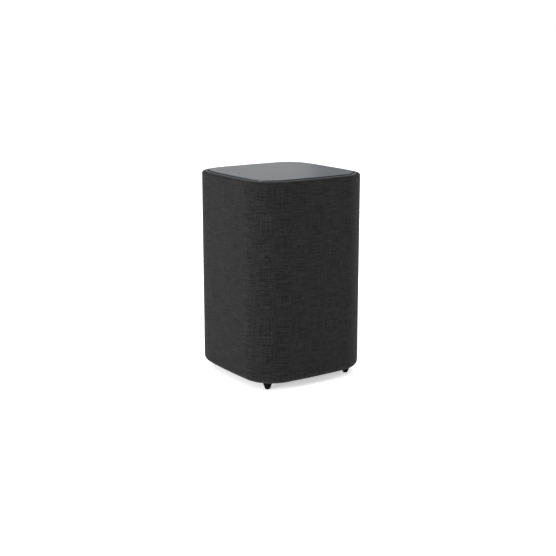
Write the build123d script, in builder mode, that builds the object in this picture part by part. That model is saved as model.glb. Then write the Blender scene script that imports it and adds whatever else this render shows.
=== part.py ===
"""Compact powered subwoofer: a fabric-wrapped rounded-square cabinet on four rubber feet.

A 200 mm driver fires down through the base, and a mains-powered amplifier sits behind a panel
low on the rear. Millimetres, +Z up, front towards -Y, origin on the floor under the middle.
"""

import os
from math import atan2, degrees, radians, sqrt, tan

from build123d import *

# ---------------------------------------------------------------- body
WIDTH = 240.0  # across the middles of opposite sides, fabric included
BODY_HEIGHT = 354.0  # from the lowest to the highest fabric
SIDE_RADIUS = 1160.0  # each side is a shallow arc in plan
CORNER_RADIUS = 59.0
TOP_EDGE_RADIUS = 4.0
BOTTOM_EDGE_RADIUS = 11.0
FABRIC = 1.2
WALL = 8.0
DECK = 8.0  # thickness of the cabinet's closed top
FIT_GAP = 0.3  # between pieces that drop into each other
THREAD_GAP = 0.05  # between a screw and the hole it cuts its thread in

# ---------------------------------------------------------------- top panel
PANEL_INSET = 13.4  # from the fabric's side to the panel's edge
PANEL_THICKNESS = 2.0
PANEL_EDGE_RADIUS = 0.5
FABRIC_TOP_LIP = 6.5  # how far the fabric turns in over the top
CARRIER_DEPTH = 5.8  # depth of the pocket that holds the carrier
CARRIER_SKIN = 2.0
CARRIER_WALL = 3.0
RIM_WIDTH = 3.0  # the carrier's rim, which shows between the fabric and the groove
RIM_PROUD = 0.5
RIM_ROUNDING = 0.9
GROOVE_DEPTH = 2.0  # the shadow groove between the rim and the panel
LAND_OVERHANG = 1.0  # how far the panel reaches out past the land it rests on
CARRIER_RIB_PITCH = 33.0
CARRIER_RIB = 2.0
POST_RADIUS = 3.0  # the carrier's push-fit posts
POST_LENGTH = 6.0
POST_SPARE = 1.0
POST_PITCH = 130.0

# ---------------------------------------------------------------- base
BASE_HEIGHT = 24.0  # thickness of the baffle that closes the bottom
BASE_SEAL = 1.2
SPIGOT_HEIGHT = 4.0
SPIGOT_WIDTH = 4.5
FABRIC_BASE_LIP = 12.0  # how far the fabric turns in under the base
TRIM_THICKNESS = 2.0
TRIM_GAP = 0.3
BOSS_RADIUS = 6.5  # the screw bosses inside the cabinet
BOSS_HEIGHT = 24.0
BOSS_INSET = 5.8  # from the cabinet's inner wall to a boss's middle
BOSS_ALONG = 56.0  # from the mid plane to a boss's middle
BASE_SCREW_RADIUS = 2.0
BASE_SCREW_HEAD_RADIUS = 4.0
BASE_SCREW_HEAD = 3.0
BASE_SCREW_BITE = 18.0  # length in the boss
SCREW_CLEARANCE = 0.3

# ---------------------------------------------------------------- feet
FOOT_HEIGHT = 14.0
FOOT_SPACING = 172.0
FOOT_TOP_RADIUS = 9.0
FOOT_WAIST_RADIUS = 6.2
FOOT_WAIST_HEIGHT = 5.0
FOOT_FLAT_RADIUS = 3.6
FOOT_STEM_RADIUS = 3.2
FOOT_STEM_LENGTH = 12.0
FOOT_HOLE_SPARE = 1.0

# ---------------------------------------------------------------- woofer
WOOFER_RADIUS = 103.0  # the basket's flange
FLANGE_THICKNESS = 4.0
FLANGE_WIDTH = 12.0
RECESS_GAP = 1.0  # around the flange in the baffle
WOOFER_RECESS = 17.5  # from the body's lowest face up to the woofer's seat
WOOFER_GASKET = 1.5
BASKET_WALL = 2.5
BASKET_DEPTH = 58.0  # from the flange's back to the motor
SPIDER_SHELF_HEIGHT = 42.5  # above the flange's back
SPIDER_SHELF_RADIUS = 64.5
SPIDER_SHELF_WIDTH = 9.5
BASKET_NECK_RADIUS = 54.0
BASKET_HOLE_RADIUS = 30.0
SPOKES = 6
SPOKE_WIDTH = 16.0
WOOFER_SCREWS = 8
WOOFER_SCREW_RADIUS = 2.0
WOOFER_SCREW_HEAD_RADIUS = 3.4
WOOFER_SCREW_HEAD = 2.2
WOOFER_SCREW_INSET = 3.7  # from the flange's edge to a screw's middle
SURROUND_THICKNESS = 0.8
SURROUND_ROLL_RADIUS = 6.0
SURROUND_LIP = 4.2
FRONT_RING_THICKNESS = 1.2
FRONT_RING_WIDTH = 4.4
CONE_THICKNESS = 1.0
CONE_NECK_HEIGHT = 41.5  # from the cone's rim to its neck
DUST_CAP_RADIUS = 36.0
DUST_CAP_HEIGHT = 10.0
DUST_CAP_THICKNESS = 0.9
COIL_RADIUS = 24.9  # inside of the voice coil former
FORMER_THICKNESS = 0.3
WINDING_THICKNESS = 0.8
WINDING_LENGTH = 20.0
GLUE_GAP = 0.3
MAGNETIC_GAP = 0.6  # from the winding to the top plate
POLE_GAP = 0.5  # from the pole to the former
TOP_PLATE_RADIUS = 52.0
TOP_PLATE_THICKNESS = 8.0
MAGNET_RADIUS = 62.0
MAGNET_HOLE_RADIUS = 34.0
MAGNET_THICKNESS = 20.0
MAGNET_EDGE = 1.0
YOKE_RADIUS = 60.0
YOKE_THICKNESS = 8.0
POLE_VENT_RADIUS = 7.0
SPIDER_THICKNESS = 0.6
SPIDER_ROLLS = 5
SPIDER_ROLL_RADIUS = 2.6
SPIDER_INNER_LIP = 2.7
CONE_TRAVEL = 7.0  # each way
TERMINAL_WIDTH = 30.0
TERMINAL_STAND_OFF = 5.3  # from the spider shelf out to the strip
TERMINAL_HEIGHT = 14.0
TERMINAL_THICKNESS = 1.6
TAB_WIDTH = 4.8
TAB_THICKNESS = 0.8
TAB_LENGTH = 6.0
TAB_SPACING = 22.0
TINSEL_RADIUS = 0.8
TINSEL_RISE = 2.4  # how far a tinsel lead bows up

# ---------------------------------------------------------------- rear panel and amplifier
REAR_WIDTH = 124.0
REAR_HEIGHT = 92.0
REAR_CORNER = 10.0
REAR_CENTRE_HEIGHT = 152.0  # above the floor
REAR_THICKNESS = 3.0
REAR_RECESS = 2.6  # from the side's middle in to the panel's face
REAR_GASKET = 1.2
REAR_LEDGE = 9.0  # width of the seat round the window
REAR_FRAME_DEPTH = 9.0
REAR_SCREW_RADIUS = 1.5
REAR_SCREW_HEAD_RADIUS = 2.6
REAR_SCREW_HEAD = 1.6
REAR_SCREW_LENGTH = 11.0
REAR_SCREW_INSET = 5.4
CHAMBER_DEPTH = 46.0
CHAMBER_WALL = 2.0
CHAMBER_GAP = 1.0
INLET_PLACE = (38.0, 25.0)  # from the panel's left and lower edges, seen from behind, to the inlet's middle
INLET_WIDTH = 24.0
INLET_HEIGHT = 15.0
INLET_DEPTH = 20.0
INLET_FLANGE = 3.0
INLET_FLANGE_THICKNESS = 1.5
INLET_CAVITY_WIDTH = 17.0
INLET_CAVITY_HEIGHT = 9.0
INLET_CAVITY_DEPTH = 14.0
PIN_RADIUS = 1.2
PIN_SPACING = 8.6
PIN_LENGTH = 11.0
PIN_TAIL = 1.0  # beyond the supply board
BUTTON_INSET = 30.0  # from the panel's right edge, seen from behind, to the button's middle
BUTTON_RISE = 1.0  # above the panel's middle
BUTTON_RADIUS = 4.5
BUTTON_PROUD = 1.0
BUTTON_COLLAR = 1.2
BUTTON_COLLAR_THICKNESS = 1.2
BUTTON_STEM_RADIUS = 1.6
BUTTON_STEM = 3.0
BUTTON_GAP = 0.25
BUTTON_TRAVEL = 1.0
LIGHT_RISE = 16.0
LIGHT_RADIUS = 1.5
LIGHT_COLLAR = 0.9
CONTROL_BOARD = (14.0, 31.0)
PEG_RADIUS = 1.0
PEG_SHOULDER = 1.8
PEG_INSET = 2.0
SWITCH_SIZE = 6.0
SWITCH_HEIGHT = 2.5
BOARD_THICKNESS = 1.6
BOARD_MARGIN = 3.0  # between a board's edge and the chamber's wall
SUPPLY_BOARD_DEPTH = 22.0  # from the panel's back to the board
AMPLIFIER_BOARD_DEPTH = 34.0
PILLAR_RADIUS = 3.0
PILLAR_INSET = 5.0
PILLAR_SCREW_HEAD = 1.5
TRANSFORMER = (30.0, 26.0, 17.0)
TRANSFORMER_OFFSET = (4.0, 12.0)
TRANSFORMER_CORE = 8.0
CAPACITOR_RADIUS = 8.0
CAPACITOR_HEIGHT = 17.0
CAPACITOR_GAP = 4.0  # from the inlet's body to the first capacitor
CAPACITOR_RISE = 14.0  # above the board's lower edge
CAPACITOR_PITCH = 18.0
HEAT_SINK = (50.0, 26.0)
HEAT_SINK_DEPTH = 6.0
HEAT_SINK_BASE = 1.8
HEAT_SINK_FINS = 9
HEAT_SINK_FIN = 1.4
RADIO_MODULE = (24.0, 18.0, 3.0)
RADIO_PLACE = (11.0, 12.0)  # in from the board's edge, and above its middle
OUTPUT_COIL_RADIUS = 6.0
OUTPUT_COIL_HEIGHT = 8.0
COIL_OFFSET = (20.0, 6.0)
COIL_PITCH = 16.0
FUSE_RADIUS = 2.6
FUSE_LENGTH = 20.0
FUSE_PLACE = (7.0, 6.0)  # in from the board's edge, and above its middle
OUTPUT_SOCKET = (12.0, 8.0, 9.0)
GROMMET_RADIUS = 4.0
GROMMET_LIP = 1.5
LEAD_RADIUS = 2.0
LEAD_BEND = 0.45  # how much of a run each bend at its end takes
CONNECTOR = (9.0, 7.0, 10.0)  # width beyond the tabs, depth and height
CONNECTOR_GAP = 1.0

# ---------------------------------------------------------------- brace and wadding
BRACE_HEIGHT = 228.0  # above the floor
BRACE_THICKNESS = 8.0
BRACE_WIDTH = 32.0
WADDING_THICKNESS = 16.0
WADDING_WIDTH = 104.0
WADDING_EDGE_RADIUS = 5.0
WADDING_GAP = 2.0
WADDING_SPARE = 8.0  # above the screw bosses and below the brace

os.makedirs("parts", exist_ok=True)

# ---------------------------------------------------------------- worked-out places
half_width = WIDTH / 2
body_bottom = FOOT_HEIGHT
body_top = body_bottom + BODY_HEIGHT
form_bottom = body_bottom + FABRIC
form_top = body_top - FABRIC
wall_inset = FABRIC + WALL
inner_half = half_width - wall_inset

side_offset = SIDE_RADIUS - half_width
corner_centre = (sqrt(2 * (SIDE_RADIUS - CORNER_RADIUS) ** 2 - side_offset**2) - side_offset) / 2
side_half_angle = degrees(atan2(corner_centre, side_offset + corner_centre))

base_top = form_bottom + BASE_HEIGHT
cabinet_bottom = base_top + BASE_SEAL
trim_top = body_bottom + TRIM_THICKNESS
pocket_floor = form_top - CARRIER_DEPTH
deck_bottom = pocket_floor - DECK

seat = body_bottom + WOOFER_RECESS
flange_back = seat - WOOFER_GASKET
flange_front = flange_back - FLANGE_THICKNESS
flange_inner = WOOFER_RADIUS - FLANGE_WIDTH
cutout_radius = flange_inner + BASKET_WALL
recess_radius = WOOFER_RADIUS + RECESS_GAP
motor_front = flange_back + BASKET_DEPTH
magnet_front = motor_front + TOP_PLATE_THICKNESS
yoke_front = magnet_front + MAGNET_THICKNESS
yoke_back = yoke_front + YOKE_THICKNESS
shelf = flange_back + SPIDER_SHELF_HEIGHT
former_radius = COIL_RADIUS + FORMER_THICKNESS
winding_radius = former_radius + WINDING_THICKNESS
roll_centre = flange_inner - SURROUND_ROLL_RADIUS
cone_rim = roll_centre - SURROUND_ROLL_RADIUS
cone_shoulder = cone_rim - SURROUND_LIP
surround_outer = flange_inner + SURROUND_LIP
screw_circle = WOOFER_RADIUS - WOOFER_SCREW_INSET

rear_face = half_width - REAR_RECESS
rear_back = rear_face - REAR_THICKNESS
rear_seat = rear_back - REAR_GASKET
window_width = REAR_WIDTH - 2 * REAR_LEDGE
window_height = REAR_HEIGHT - 2 * REAR_LEDGE
chamber_width = window_width - 2 * CHAMBER_GAP
chamber_height = window_height - 2 * CHAMBER_GAP
chamber_end = rear_back - CHAMBER_DEPTH
pillar_span = 2 * (CHAMBER_WALL + BOARD_MARGIN + PILLAR_INSET)
pillar_grid = (chamber_width - pillar_span, chamber_height - pillar_span)
inlet_offset = (INLET_PLACE[0] - REAR_WIDTH / 2, INLET_PLACE[1] - REAR_HEIGHT / 2)
button_offset = (REAR_WIDTH / 2 - BUTTON_INSET, BUTTON_RISE)
light_offset = (button_offset[0], LIGHT_RISE)
button_back = rear_back - BUTTON_GAP - BUTTON_COLLAR_THICKNESS
stem_end = button_back - BUTTON_STEM
switch_face = stem_end - BUTTON_TRAVEL - BUTTON_GAP
control_board_face = switch_face - SWITCH_HEIGHT
control_middle = (button_offset[0], (BUTTON_RISE + LIGHT_RISE) / 2)
peg_reach = (CONTROL_BOARD[0] / 2 - PEG_INSET, CONTROL_BOARD[1] / 2 - PEG_INSET)
peg_places = [(control_middle[0] + side * peg_reach[0], control_middle[1] + side * peg_reach[1]) for side in (-1, 1)]
board_width = chamber_width - 2 * (CHAMBER_WALL + BOARD_MARGIN)
board_height = chamber_height - 2 * (CHAMBER_WALL + BOARD_MARGIN)
supply_board_face = rear_back - SUPPLY_BOARD_DEPTH
amplifier_board_face = rear_back - AMPLIFIER_BOARD_DEPTH
first_capacitor = inlet_offset[0] + INLET_WIDTH / 2 + CAPACITOR_GAP + CAPACITOR_RADIUS
capacitor_middle = (first_capacitor + CAPACITOR_PITCH / 2, CAPACITOR_RISE - board_height / 2)
radio_middle = (RADIO_PLACE[0] + RADIO_MODULE[0] / 2 - board_width / 2, RADIO_PLACE[1])
fuse_end = board_width / 2 - FUSE_PLACE[0]


def rear_plane(y):
    """A sketch plane that faces +Y, with its x to the right as seen from behind."""
    return Plane(origin=(0, y, REAR_CENTRE_HEIGHT), x_dir=(-1, 0, 0), z_dir=(0, 1, 0))


def plan_outline(inset):
    """The edges of the body's plan, drawn in by inset."""
    with BuildLine(Plane.XY) as outline:
        for turn in (0, 90, 180, 270):
            side = Vector(0, side_offset).rotate(Axis.Z, turn)
            corner = Vector(corner_centre, -corner_centre).rotate(Axis.Z, turn)
            CenterArc(side, SIDE_RADIUS - inset, turn - 90 - side_half_angle, 2 * side_half_angle)
            CenterArc(corner, CORNER_RADIUS - inset, turn - 90 + side_half_angle, 90 - 2 * side_half_angle)
    return outline.edges()


def plan_block(inset, bottom, top, mode=Mode.ADD):
    """Extrudes the body's plan, drawn in by inset, in the part that is open."""
    with BuildSketch(Plane.XY.offset(bottom)) as plan:
        make_face(plan_outline(inset))
    extrude(plan.sketch, amount=top - bottom, mode=mode)


def cut_plan(inset, bottom, top):
    """Cuts the body's plan, drawn in by inset, out of the part that is open."""
    plan_block(inset, bottom, top, mode=Mode.SUBTRACT)


def plan_ring(inset, width, bottom, top):
    """Adds a ring that follows the body's plan to the part that is open."""
    with BuildSketch(Plane.XY.offset(bottom)) as plan:
        make_face(plan_outline(inset))
        make_face(plan_outline(inset + width), mode=Mode.SUBTRACT)
    extrude(plan.sketch, amount=top - bottom)


def turned(*points, mode=Mode.ADD):
    """Revolves a closed outline of (radius, height) points about the woofer's axis."""
    with BuildSketch(Plane.XZ) as section:
        with BuildLine():
            Polyline(*points, close=True)
        make_face()
    revolve(section.sketch, axis=Axis.Z, mode=mode)


def turned_ring(inner, outer, bottom, top):
    """Adds a plain ring about the woofer's axis."""
    with BuildSketch(Plane.XY.offset(bottom)) as section:
        Circle(outer)
        Circle(inner, mode=Mode.SUBTRACT)
    extrude(section.sketch, amount=top - bottom)


def folded(middle, radius, thickness, below):
    """Adds one half-round roll of a thin sheet, seen in section, to the sketch that is open."""
    half = thickness / 2
    with BuildLine(Plane.XY) as outline:
        CenterArc(middle, radius + half, 180 if below else 0, 180)
        CenterArc(middle, radius - half, 180 if below else 0, 180)
        for side in (-1, 1):
            inner = (middle[0] + side * (radius - half), middle[1])
            Line(inner, (middle[0] + side * (radius + half), middle[1]))
    make_face(outline.edges())


def flat_web(start, end, height, thickness):
    """Adds one flat stretch of a thin sheet, seen in section, to the sketch that is open."""
    with Locations(((start + end) / 2, height)):
        Rectangle(end - start, thickness)


def screws(points, plane, shank_radius, shank_length, head_radius, head_height):
    """Pan-head screws whose heads stand on the plane and whose shanks run along its normal."""
    with BuildPart() as made:
        with BuildSketch(plane):
            with Locations(*points):
                Circle(shank_radius)
        extrude(amount=shank_length)
        with BuildSketch(plane):
            with Locations(*points):
                Circle(head_radius)
        extrude(amount=-head_height)
        outer = made.faces().sort_by(Axis(plane.origin, plane.z_dir))[: len(points)]
        fillet([edge for face in outer for edge in face.edges()], head_height / 3)
    return made


def save(made, name):
    """Labels a finished piece and writes it to its own file."""
    made.part.label = name
    export_step(made.part, f"parts/{name}.step")


# ---------------------------------------------------------------- the form under the fabric
with BuildPart() as body_form:
    plan_block(FABRIC, form_bottom, form_top)
    fillet(body_form.edges().group_by(Axis.Z)[-1], TOP_EDGE_RADIUS - FABRIC)
    fillet(body_form.edges().group_by(Axis.Z)[0], BOTTOM_EDGE_RADIUS - FABRIC)

# ---------------------------------------------------------------- fabric cover
with BuildPart() as fabric_cover:
    plan_block(0, body_bottom, body_top)
    fillet(fabric_cover.edges().group_by(Axis.Z)[-1], TOP_EDGE_RADIUS)
    fillet(fabric_cover.edges().group_by(Axis.Z)[0], BOTTOM_EDGE_RADIUS)
    add(body_form.part, mode=Mode.SUBTRACT)
    cut_plan(FABRIC_TOP_LIP, body_top - 2 * FABRIC, body_top)
    cut_plan(FABRIC_BASE_LIP, body_bottom, body_bottom + 2 * FABRIC)
    with BuildSketch(rear_plane(rear_seat - FABRIC)):
        RectangleRounded(REAR_WIDTH, REAR_HEIGHT, REAR_CORNER)
    extrude(amount=half_width - rear_seat + 2 * FABRIC, mode=Mode.SUBTRACT)
save(fabric_cover, "fabric_cover")

# ---------------------------------------------------------------- cabinet shell
boss_edge = inner_half - BOSS_INSET
boss_places = [
    (x * across, y * along)
    for across, along in ((boss_edge, BOSS_ALONG), (BOSS_ALONG, boss_edge))
    for x in (-1, 1)
    for y in (-1, 1)
]
rear_screw_places = [
    (x * (REAR_WIDTH / 2 - REAR_SCREW_INSET), y * (REAR_HEIGHT / 2 - REAR_SCREW_INSET))
    for x in (-1, 0, 1)
    for y in (-1, 1)
]
with BuildPart() as cabinet_shell:
    add(body_form.part)
    cut_plan(0, form_bottom, cabinet_bottom)
    cut_plan(wall_inset, cabinet_bottom, deck_bottom)
    cut_plan(FABRIC_TOP_LIP, pocket_floor, form_top)
    with BuildSketch(Plane.XY.offset(pocket_floor)):
        with GridLocations(POST_PITCH, POST_PITCH, 2, 2):
            Circle(POST_RADIUS + FIT_GAP)
    extrude(amount=-(POST_LENGTH + POST_SPARE), mode=Mode.SUBTRACT)
    # Bosses for the screws that hold the base on.
    with BuildSketch(Plane.XY.offset(cabinet_bottom)):
        with Locations(*boss_places):
            Circle(BOSS_RADIUS)
    extrude(amount=BOSS_HEIGHT)
    with BuildSketch(Plane.XY.offset(cabinet_bottom)):
        with Locations(*boss_places):
            Circle(BASE_SCREW_RADIUS + THREAD_GAP)
    extrude(amount=BOSS_HEIGHT - WALL / 2, mode=Mode.SUBTRACT)
    # A thicker frame round the rear window, the seat for the panel and the window itself.
    with BuildSketch(rear_plane(rear_seat - REAR_FRAME_DEPTH)):
        RectangleRounded(REAR_WIDTH, REAR_HEIGHT, REAR_CORNER)
    extrude(amount=REAR_FRAME_DEPTH)
    with BuildSketch(rear_plane(rear_seat)):
        RectangleRounded(REAR_WIDTH, REAR_HEIGHT, REAR_CORNER)
    extrude(amount=half_width - rear_seat, mode=Mode.SUBTRACT)
    with BuildSketch(rear_plane(rear_seat)):
        RectangleRounded(window_width, window_height, REAR_CORNER / 2)
    extrude(amount=-3 * WALL, mode=Mode.SUBTRACT)
    with BuildSketch(rear_plane(rear_seat)):
        with Locations(*rear_screw_places):
            Circle(REAR_SCREW_RADIUS + THREAD_GAP)
    extrude(amount=-REAR_FRAME_DEPTH, mode=Mode.SUBTRACT)
save(cabinet_shell, "cabinet_shell")

# ---------------------------------------------------------------- brace
with BuildPart() as cabinet_brace:
    plan_ring(wall_inset + FIT_GAP, BRACE_WIDTH, BRACE_HEIGHT, BRACE_HEIGHT + BRACE_THICKNESS)
save(cabinet_brace, "cabinet_brace")

# ---------------------------------------------------------------- wadding
wadding_bottom = cabinet_bottom + BOSS_HEIGHT + WADDING_SPARE
wadding_top = BRACE_HEIGHT - WADDING_SPARE
wadding_height = wadding_top - wadding_bottom
wadding_place = inner_half - WADDING_GAP - WADDING_THICKNESS / 2
for name, turn in (("front", -90), ("left", 180), ("right", 0)):
    centre = Vector(wadding_place, 0).rotate(Axis.Z, turn)
    with BuildPart() as wadding:
        with BuildSketch(Plane(origin=(centre.X, centre.Y, wadding_bottom))):
            Rectangle(WADDING_THICKNESS, WADDING_WIDTH, rotation=turn)
        extrude(amount=wadding_height)
        fillet(wadding.edges(), WADDING_EDGE_RADIUS)
    save(wadding, f"{name}_wadding")

with BuildPart() as top_wadding:
    plan_block(
        wall_inset + BOSS_INSET + WADDING_GAP,
        deck_bottom - WADDING_GAP - WADDING_THICKNESS,
        deck_bottom - WADDING_GAP,
    )
    fillet(top_wadding.edges().group_by(Axis.Z)[0], WADDING_EDGE_RADIUS)
save(top_wadding, "top_wadding")

# ---------------------------------------------------------------- top panel and its carrier
with BuildPart() as top_panel:
    plan_block(PANEL_INSET, body_top, body_top + PANEL_THICKNESS)
    fillet(top_panel.edges().group_by(Axis.Z)[-1], PANEL_EDGE_RADIUS)
save(top_panel, "top_panel")

carrier_inset = FABRIC_TOP_LIP + FIT_GAP
land_inset = PANEL_INSET + LAND_OVERHANG
groove_floor = body_top - GROOVE_DEPTH
rib_count = int((WIDTH - 2 * land_inset - CARRIER_WALL) / CARRIER_RIB_PITCH)
with BuildPart() as panel_carrier:
    with BuildSketch(Plane.XY.offset(pocket_floor)):
        with GridLocations(CARRIER_RIB_PITCH, 0, rib_count, 1):
            Rectangle(CARRIER_RIB, WIDTH)
        with GridLocations(0, CARRIER_RIB_PITCH, 1, rib_count):
            Rectangle(WIDTH, CARRIER_RIB)
        with GridLocations(POST_PITCH, POST_PITCH, 2, 2):
            Circle(2 * POST_RADIUS)
    extrude(amount=body_top - pocket_floor)
    plan_block(land_inset, pocket_floor, body_top, mode=Mode.INTERSECT)
    # The land under the panel, its wall, the floor of the groove and the rim outside it.
    plan_block(land_inset, body_top - CARRIER_SKIN, body_top)
    plan_ring(land_inset, CARRIER_WALL, pocket_floor, body_top)
    groove_width = land_inset + CARRIER_WALL - carrier_inset
    plan_ring(carrier_inset, groove_width, groove_floor - CARRIER_SKIN, groove_floor)
    plan_ring(carrier_inset, RIM_WIDTH, pocket_floor, body_top + RIM_PROUD)
    fillet(panel_carrier.edges().group_by(Axis.Z)[-1], RIM_ROUNDING)
    with BuildSketch(Plane.XY.offset(pocket_floor)):
        with GridLocations(POST_PITCH, POST_PITCH, 2, 2):
            Circle(POST_RADIUS)
    extrude(amount=-POST_LENGTH)
save(panel_carrier, "panel_carrier")

# ---------------------------------------------------------------- base baffle
head_seat = trim_top + BASE_SCREW_HEAD + SCREW_CLEARANCE
with BuildPart() as base_baffle:
    add(body_form.part)
    cut_plan(0, base_top, form_top)
    plan_ring(wall_inset + FIT_GAP, SPIGOT_WIDTH, base_top, base_top + SPIGOT_HEIGHT)
    with BuildSketch(Plane.XY.offset(base_top)):
        with Locations(*boss_places):
            Circle(BOSS_RADIUS + FIT_GAP)
    extrude(amount=SPIGOT_HEIGHT, mode=Mode.SUBTRACT)
    cut_plan(FABRIC_BASE_LIP, form_bottom, trim_top)
    with BuildSketch(Plane.XY.offset(trim_top)):
        Circle(recess_radius)
    extrude(amount=seat - trim_top, mode=Mode.SUBTRACT)
    with BuildSketch(Plane.XY.offset(seat)):
        Circle(cutout_radius + RECESS_GAP / 2)
    extrude(amount=base_top - seat, mode=Mode.SUBTRACT)
    with BuildSketch(Plane.XY.offset(trim_top)):
        with Locations(*boss_places):
            Circle(BASE_SCREW_RADIUS + SCREW_CLEARANCE)
    extrude(amount=base_top - trim_top, mode=Mode.SUBTRACT)
    with BuildSketch(Plane.XY.offset(trim_top)):
        with Locations(*boss_places):
            Circle(BASE_SCREW_HEAD_RADIUS + SCREW_CLEARANCE)
    extrude(amount=head_seat - trim_top, mode=Mode.SUBTRACT)
    with BuildSketch(Plane.XY.offset(seat)):
        with PolarLocations(screw_circle, WOOFER_SCREWS):
            Circle(WOOFER_SCREW_RADIUS + THREAD_GAP)
    extrude(amount=base_top - seat, mode=Mode.SUBTRACT)
    with BuildSketch(Plane.XY.offset(trim_top)):
        with GridLocations(FOOT_SPACING, FOOT_SPACING, 2, 2):
            Circle(FOOT_STEM_RADIUS + THREAD_GAP)
    extrude(amount=FOOT_STEM_LENGTH - TRIM_THICKNESS + FOOT_HOLE_SPARE, mode=Mode.SUBTRACT)
save(base_baffle, "base_baffle")

with BuildPart() as base_seal:
    plan_ring(FABRIC + FIT_GAP, WALL - FIT_GAP, base_top, cabinet_bottom)
save(base_seal, "base_seal")

base_screws = screws(
    boss_places,
    Plane.XY.offset(head_seat),
    BASE_SCREW_RADIUS,
    cabinet_bottom - head_seat + BASE_SCREW_BITE,
    BASE_SCREW_HEAD_RADIUS,
    BASE_SCREW_HEAD,
)
save(base_screws, "base_screws")

# ---------------------------------------------------------------- underside trim
with BuildPart() as underside_trim:
    plan_block(FABRIC_BASE_LIP + TRIM_GAP, body_bottom, trim_top)
    with BuildSketch(Plane.XY.offset(body_bottom)):
        Circle(surround_outer + FRONT_RING_THICKNESS)
        with GridLocations(FOOT_SPACING, FOOT_SPACING, 2, 2):
            Circle(FOOT_STEM_RADIUS + SCREW_CLEARANCE)
    extrude(amount=TRIM_THICKNESS, mode=Mode.SUBTRACT)
    mouth = underside_trim.edges().filter_by(GeomType.CIRCLE).group_by(SortBy.RADIUS)[-1]
    chamfer(mouth.sort_by(Axis.Z)[0], TRIM_THICKNESS / 2)
save(underside_trim, "underside_trim")

# ---------------------------------------------------------------- feet
for depth, y in (("front", -1), ("rear", 1)):
    for side, x in (("left", -1), ("right", 1)):
        place = (x * FOOT_SPACING / 2, y * FOOT_SPACING / 2, 0)
        with BuildPart() as foot:
            with BuildSketch(Plane(origin=place, x_dir=(1, 0, 0), z_dir=(0, -1, 0))):
                with BuildLine():
                    Polyline(
                        (FOOT_FLAT_RADIUS, 0),
                        (0, 0),
                        (0, FOOT_HEIGHT + FOOT_STEM_LENGTH),
                        (FOOT_STEM_RADIUS, FOOT_HEIGHT + FOOT_STEM_LENGTH),
                        (FOOT_STEM_RADIUS, FOOT_HEIGHT),
                        (FOOT_TOP_RADIUS, FOOT_HEIGHT),
                        (FOOT_WAIST_RADIUS, FOOT_WAIST_HEIGHT),
                    )
                    TangentArc(
                        (FOOT_WAIST_RADIUS, FOOT_WAIST_HEIGHT),
                        (FOOT_FLAT_RADIUS, 0),
                        tangent=(FOOT_WAIST_RADIUS - FOOT_TOP_RADIUS, FOOT_WAIST_HEIGHT - FOOT_HEIGHT),
                    )
                make_face()
            revolve(axis=Axis(place, (0, 0, 1)))
        save(foot, f"{depth}_{side}_foot")

# ---------------------------------------------------------------- woofer basket
wall_foot = cutout_radius
terminal_face = SPIDER_SHELF_RADIUS + TERMINAL_STAND_OFF
strip_bottom = shelf - TERMINAL_HEIGHT / 2
strip_top = strip_bottom + TERMINAL_HEIGHT
window_bottom = flange_back + FLANGE_THICKNESS
window_half_angle = 180 / SPOKES - degrees(atan2(SPOKE_WIDTH / 2, SPIDER_SHELF_RADIUS))
window_corners = [
    Vector(radius, 0).rotate(Axis.Z, turn * window_half_angle)
    for radius, turn in ((BASKET_NECK_RADIUS, -1), (WOOFER_RADIUS, -1), (WOOFER_RADIUS, 1), (BASKET_NECK_RADIUS, 1))
]
with BuildPart() as woofer_basket:
    # A pad on one spoke carries the terminal strip.
    with BuildSketch(Plane.XY.offset(strip_bottom)):
        with Locations((0, (SPIDER_SHELF_RADIUS - BASKET_WALL + terminal_face) / 2)):
            Rectangle(SPOKE_WIDTH, terminal_face - SPIDER_SHELF_RADIUS + BASKET_WALL)
    extrude(amount=shelf + BASKET_WALL - strip_bottom)
    turned(
        (0, flange_back),
        (flange_inner, flange_back),
        (SPIDER_SHELF_RADIUS - BASKET_WALL, shelf),
        (0, shelf),
        mode=Mode.SUBTRACT,
    )
    turned(
        (flange_inner, flange_front),
        (WOOFER_RADIUS, flange_front),
        (WOOFER_RADIUS, flange_back),
        (wall_foot, flange_back),
        (SPIDER_SHELF_RADIUS, shelf),
        (SPIDER_SHELF_RADIUS, shelf + BASKET_WALL),
        (BASKET_NECK_RADIUS, motor_front - BASKET_WALL),
        (BASKET_NECK_RADIUS, motor_front),
        (BASKET_HOLE_RADIUS, motor_front),
        (BASKET_HOLE_RADIUS, motor_front - BASKET_WALL),
        (BASKET_NECK_RADIUS - BASKET_WALL, motor_front - BASKET_WALL),
        (SPIDER_SHELF_RADIUS - 2 * BASKET_WALL, shelf + BASKET_WALL),
        (SPIDER_SHELF_RADIUS - SPIDER_SHELF_WIDTH, shelf + BASKET_WALL),
        (SPIDER_SHELF_RADIUS - SPIDER_SHELF_WIDTH, shelf),
        (SPIDER_SHELF_RADIUS - BASKET_WALL, shelf),
        (flange_inner, flange_back),
    )
    with BuildSketch(Plane.XY.offset(window_bottom)):
        with PolarLocations(0, SPOKES, start_angle=90 + 180 / SPOKES):
            Polygon(*window_corners, align=None)
    extrude(amount=shelf - BASKET_WALL - window_bottom, mode=Mode.SUBTRACT)
    with BuildSketch(Plane.XY.offset(flange_front)):
        with PolarLocations(screw_circle, WOOFER_SCREWS):
            Circle(WOOFER_SCREW_RADIUS + SCREW_CLEARANCE)
    extrude(amount=FLANGE_THICKNESS, mode=Mode.SUBTRACT)
save(woofer_basket, "woofer_basket")

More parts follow.
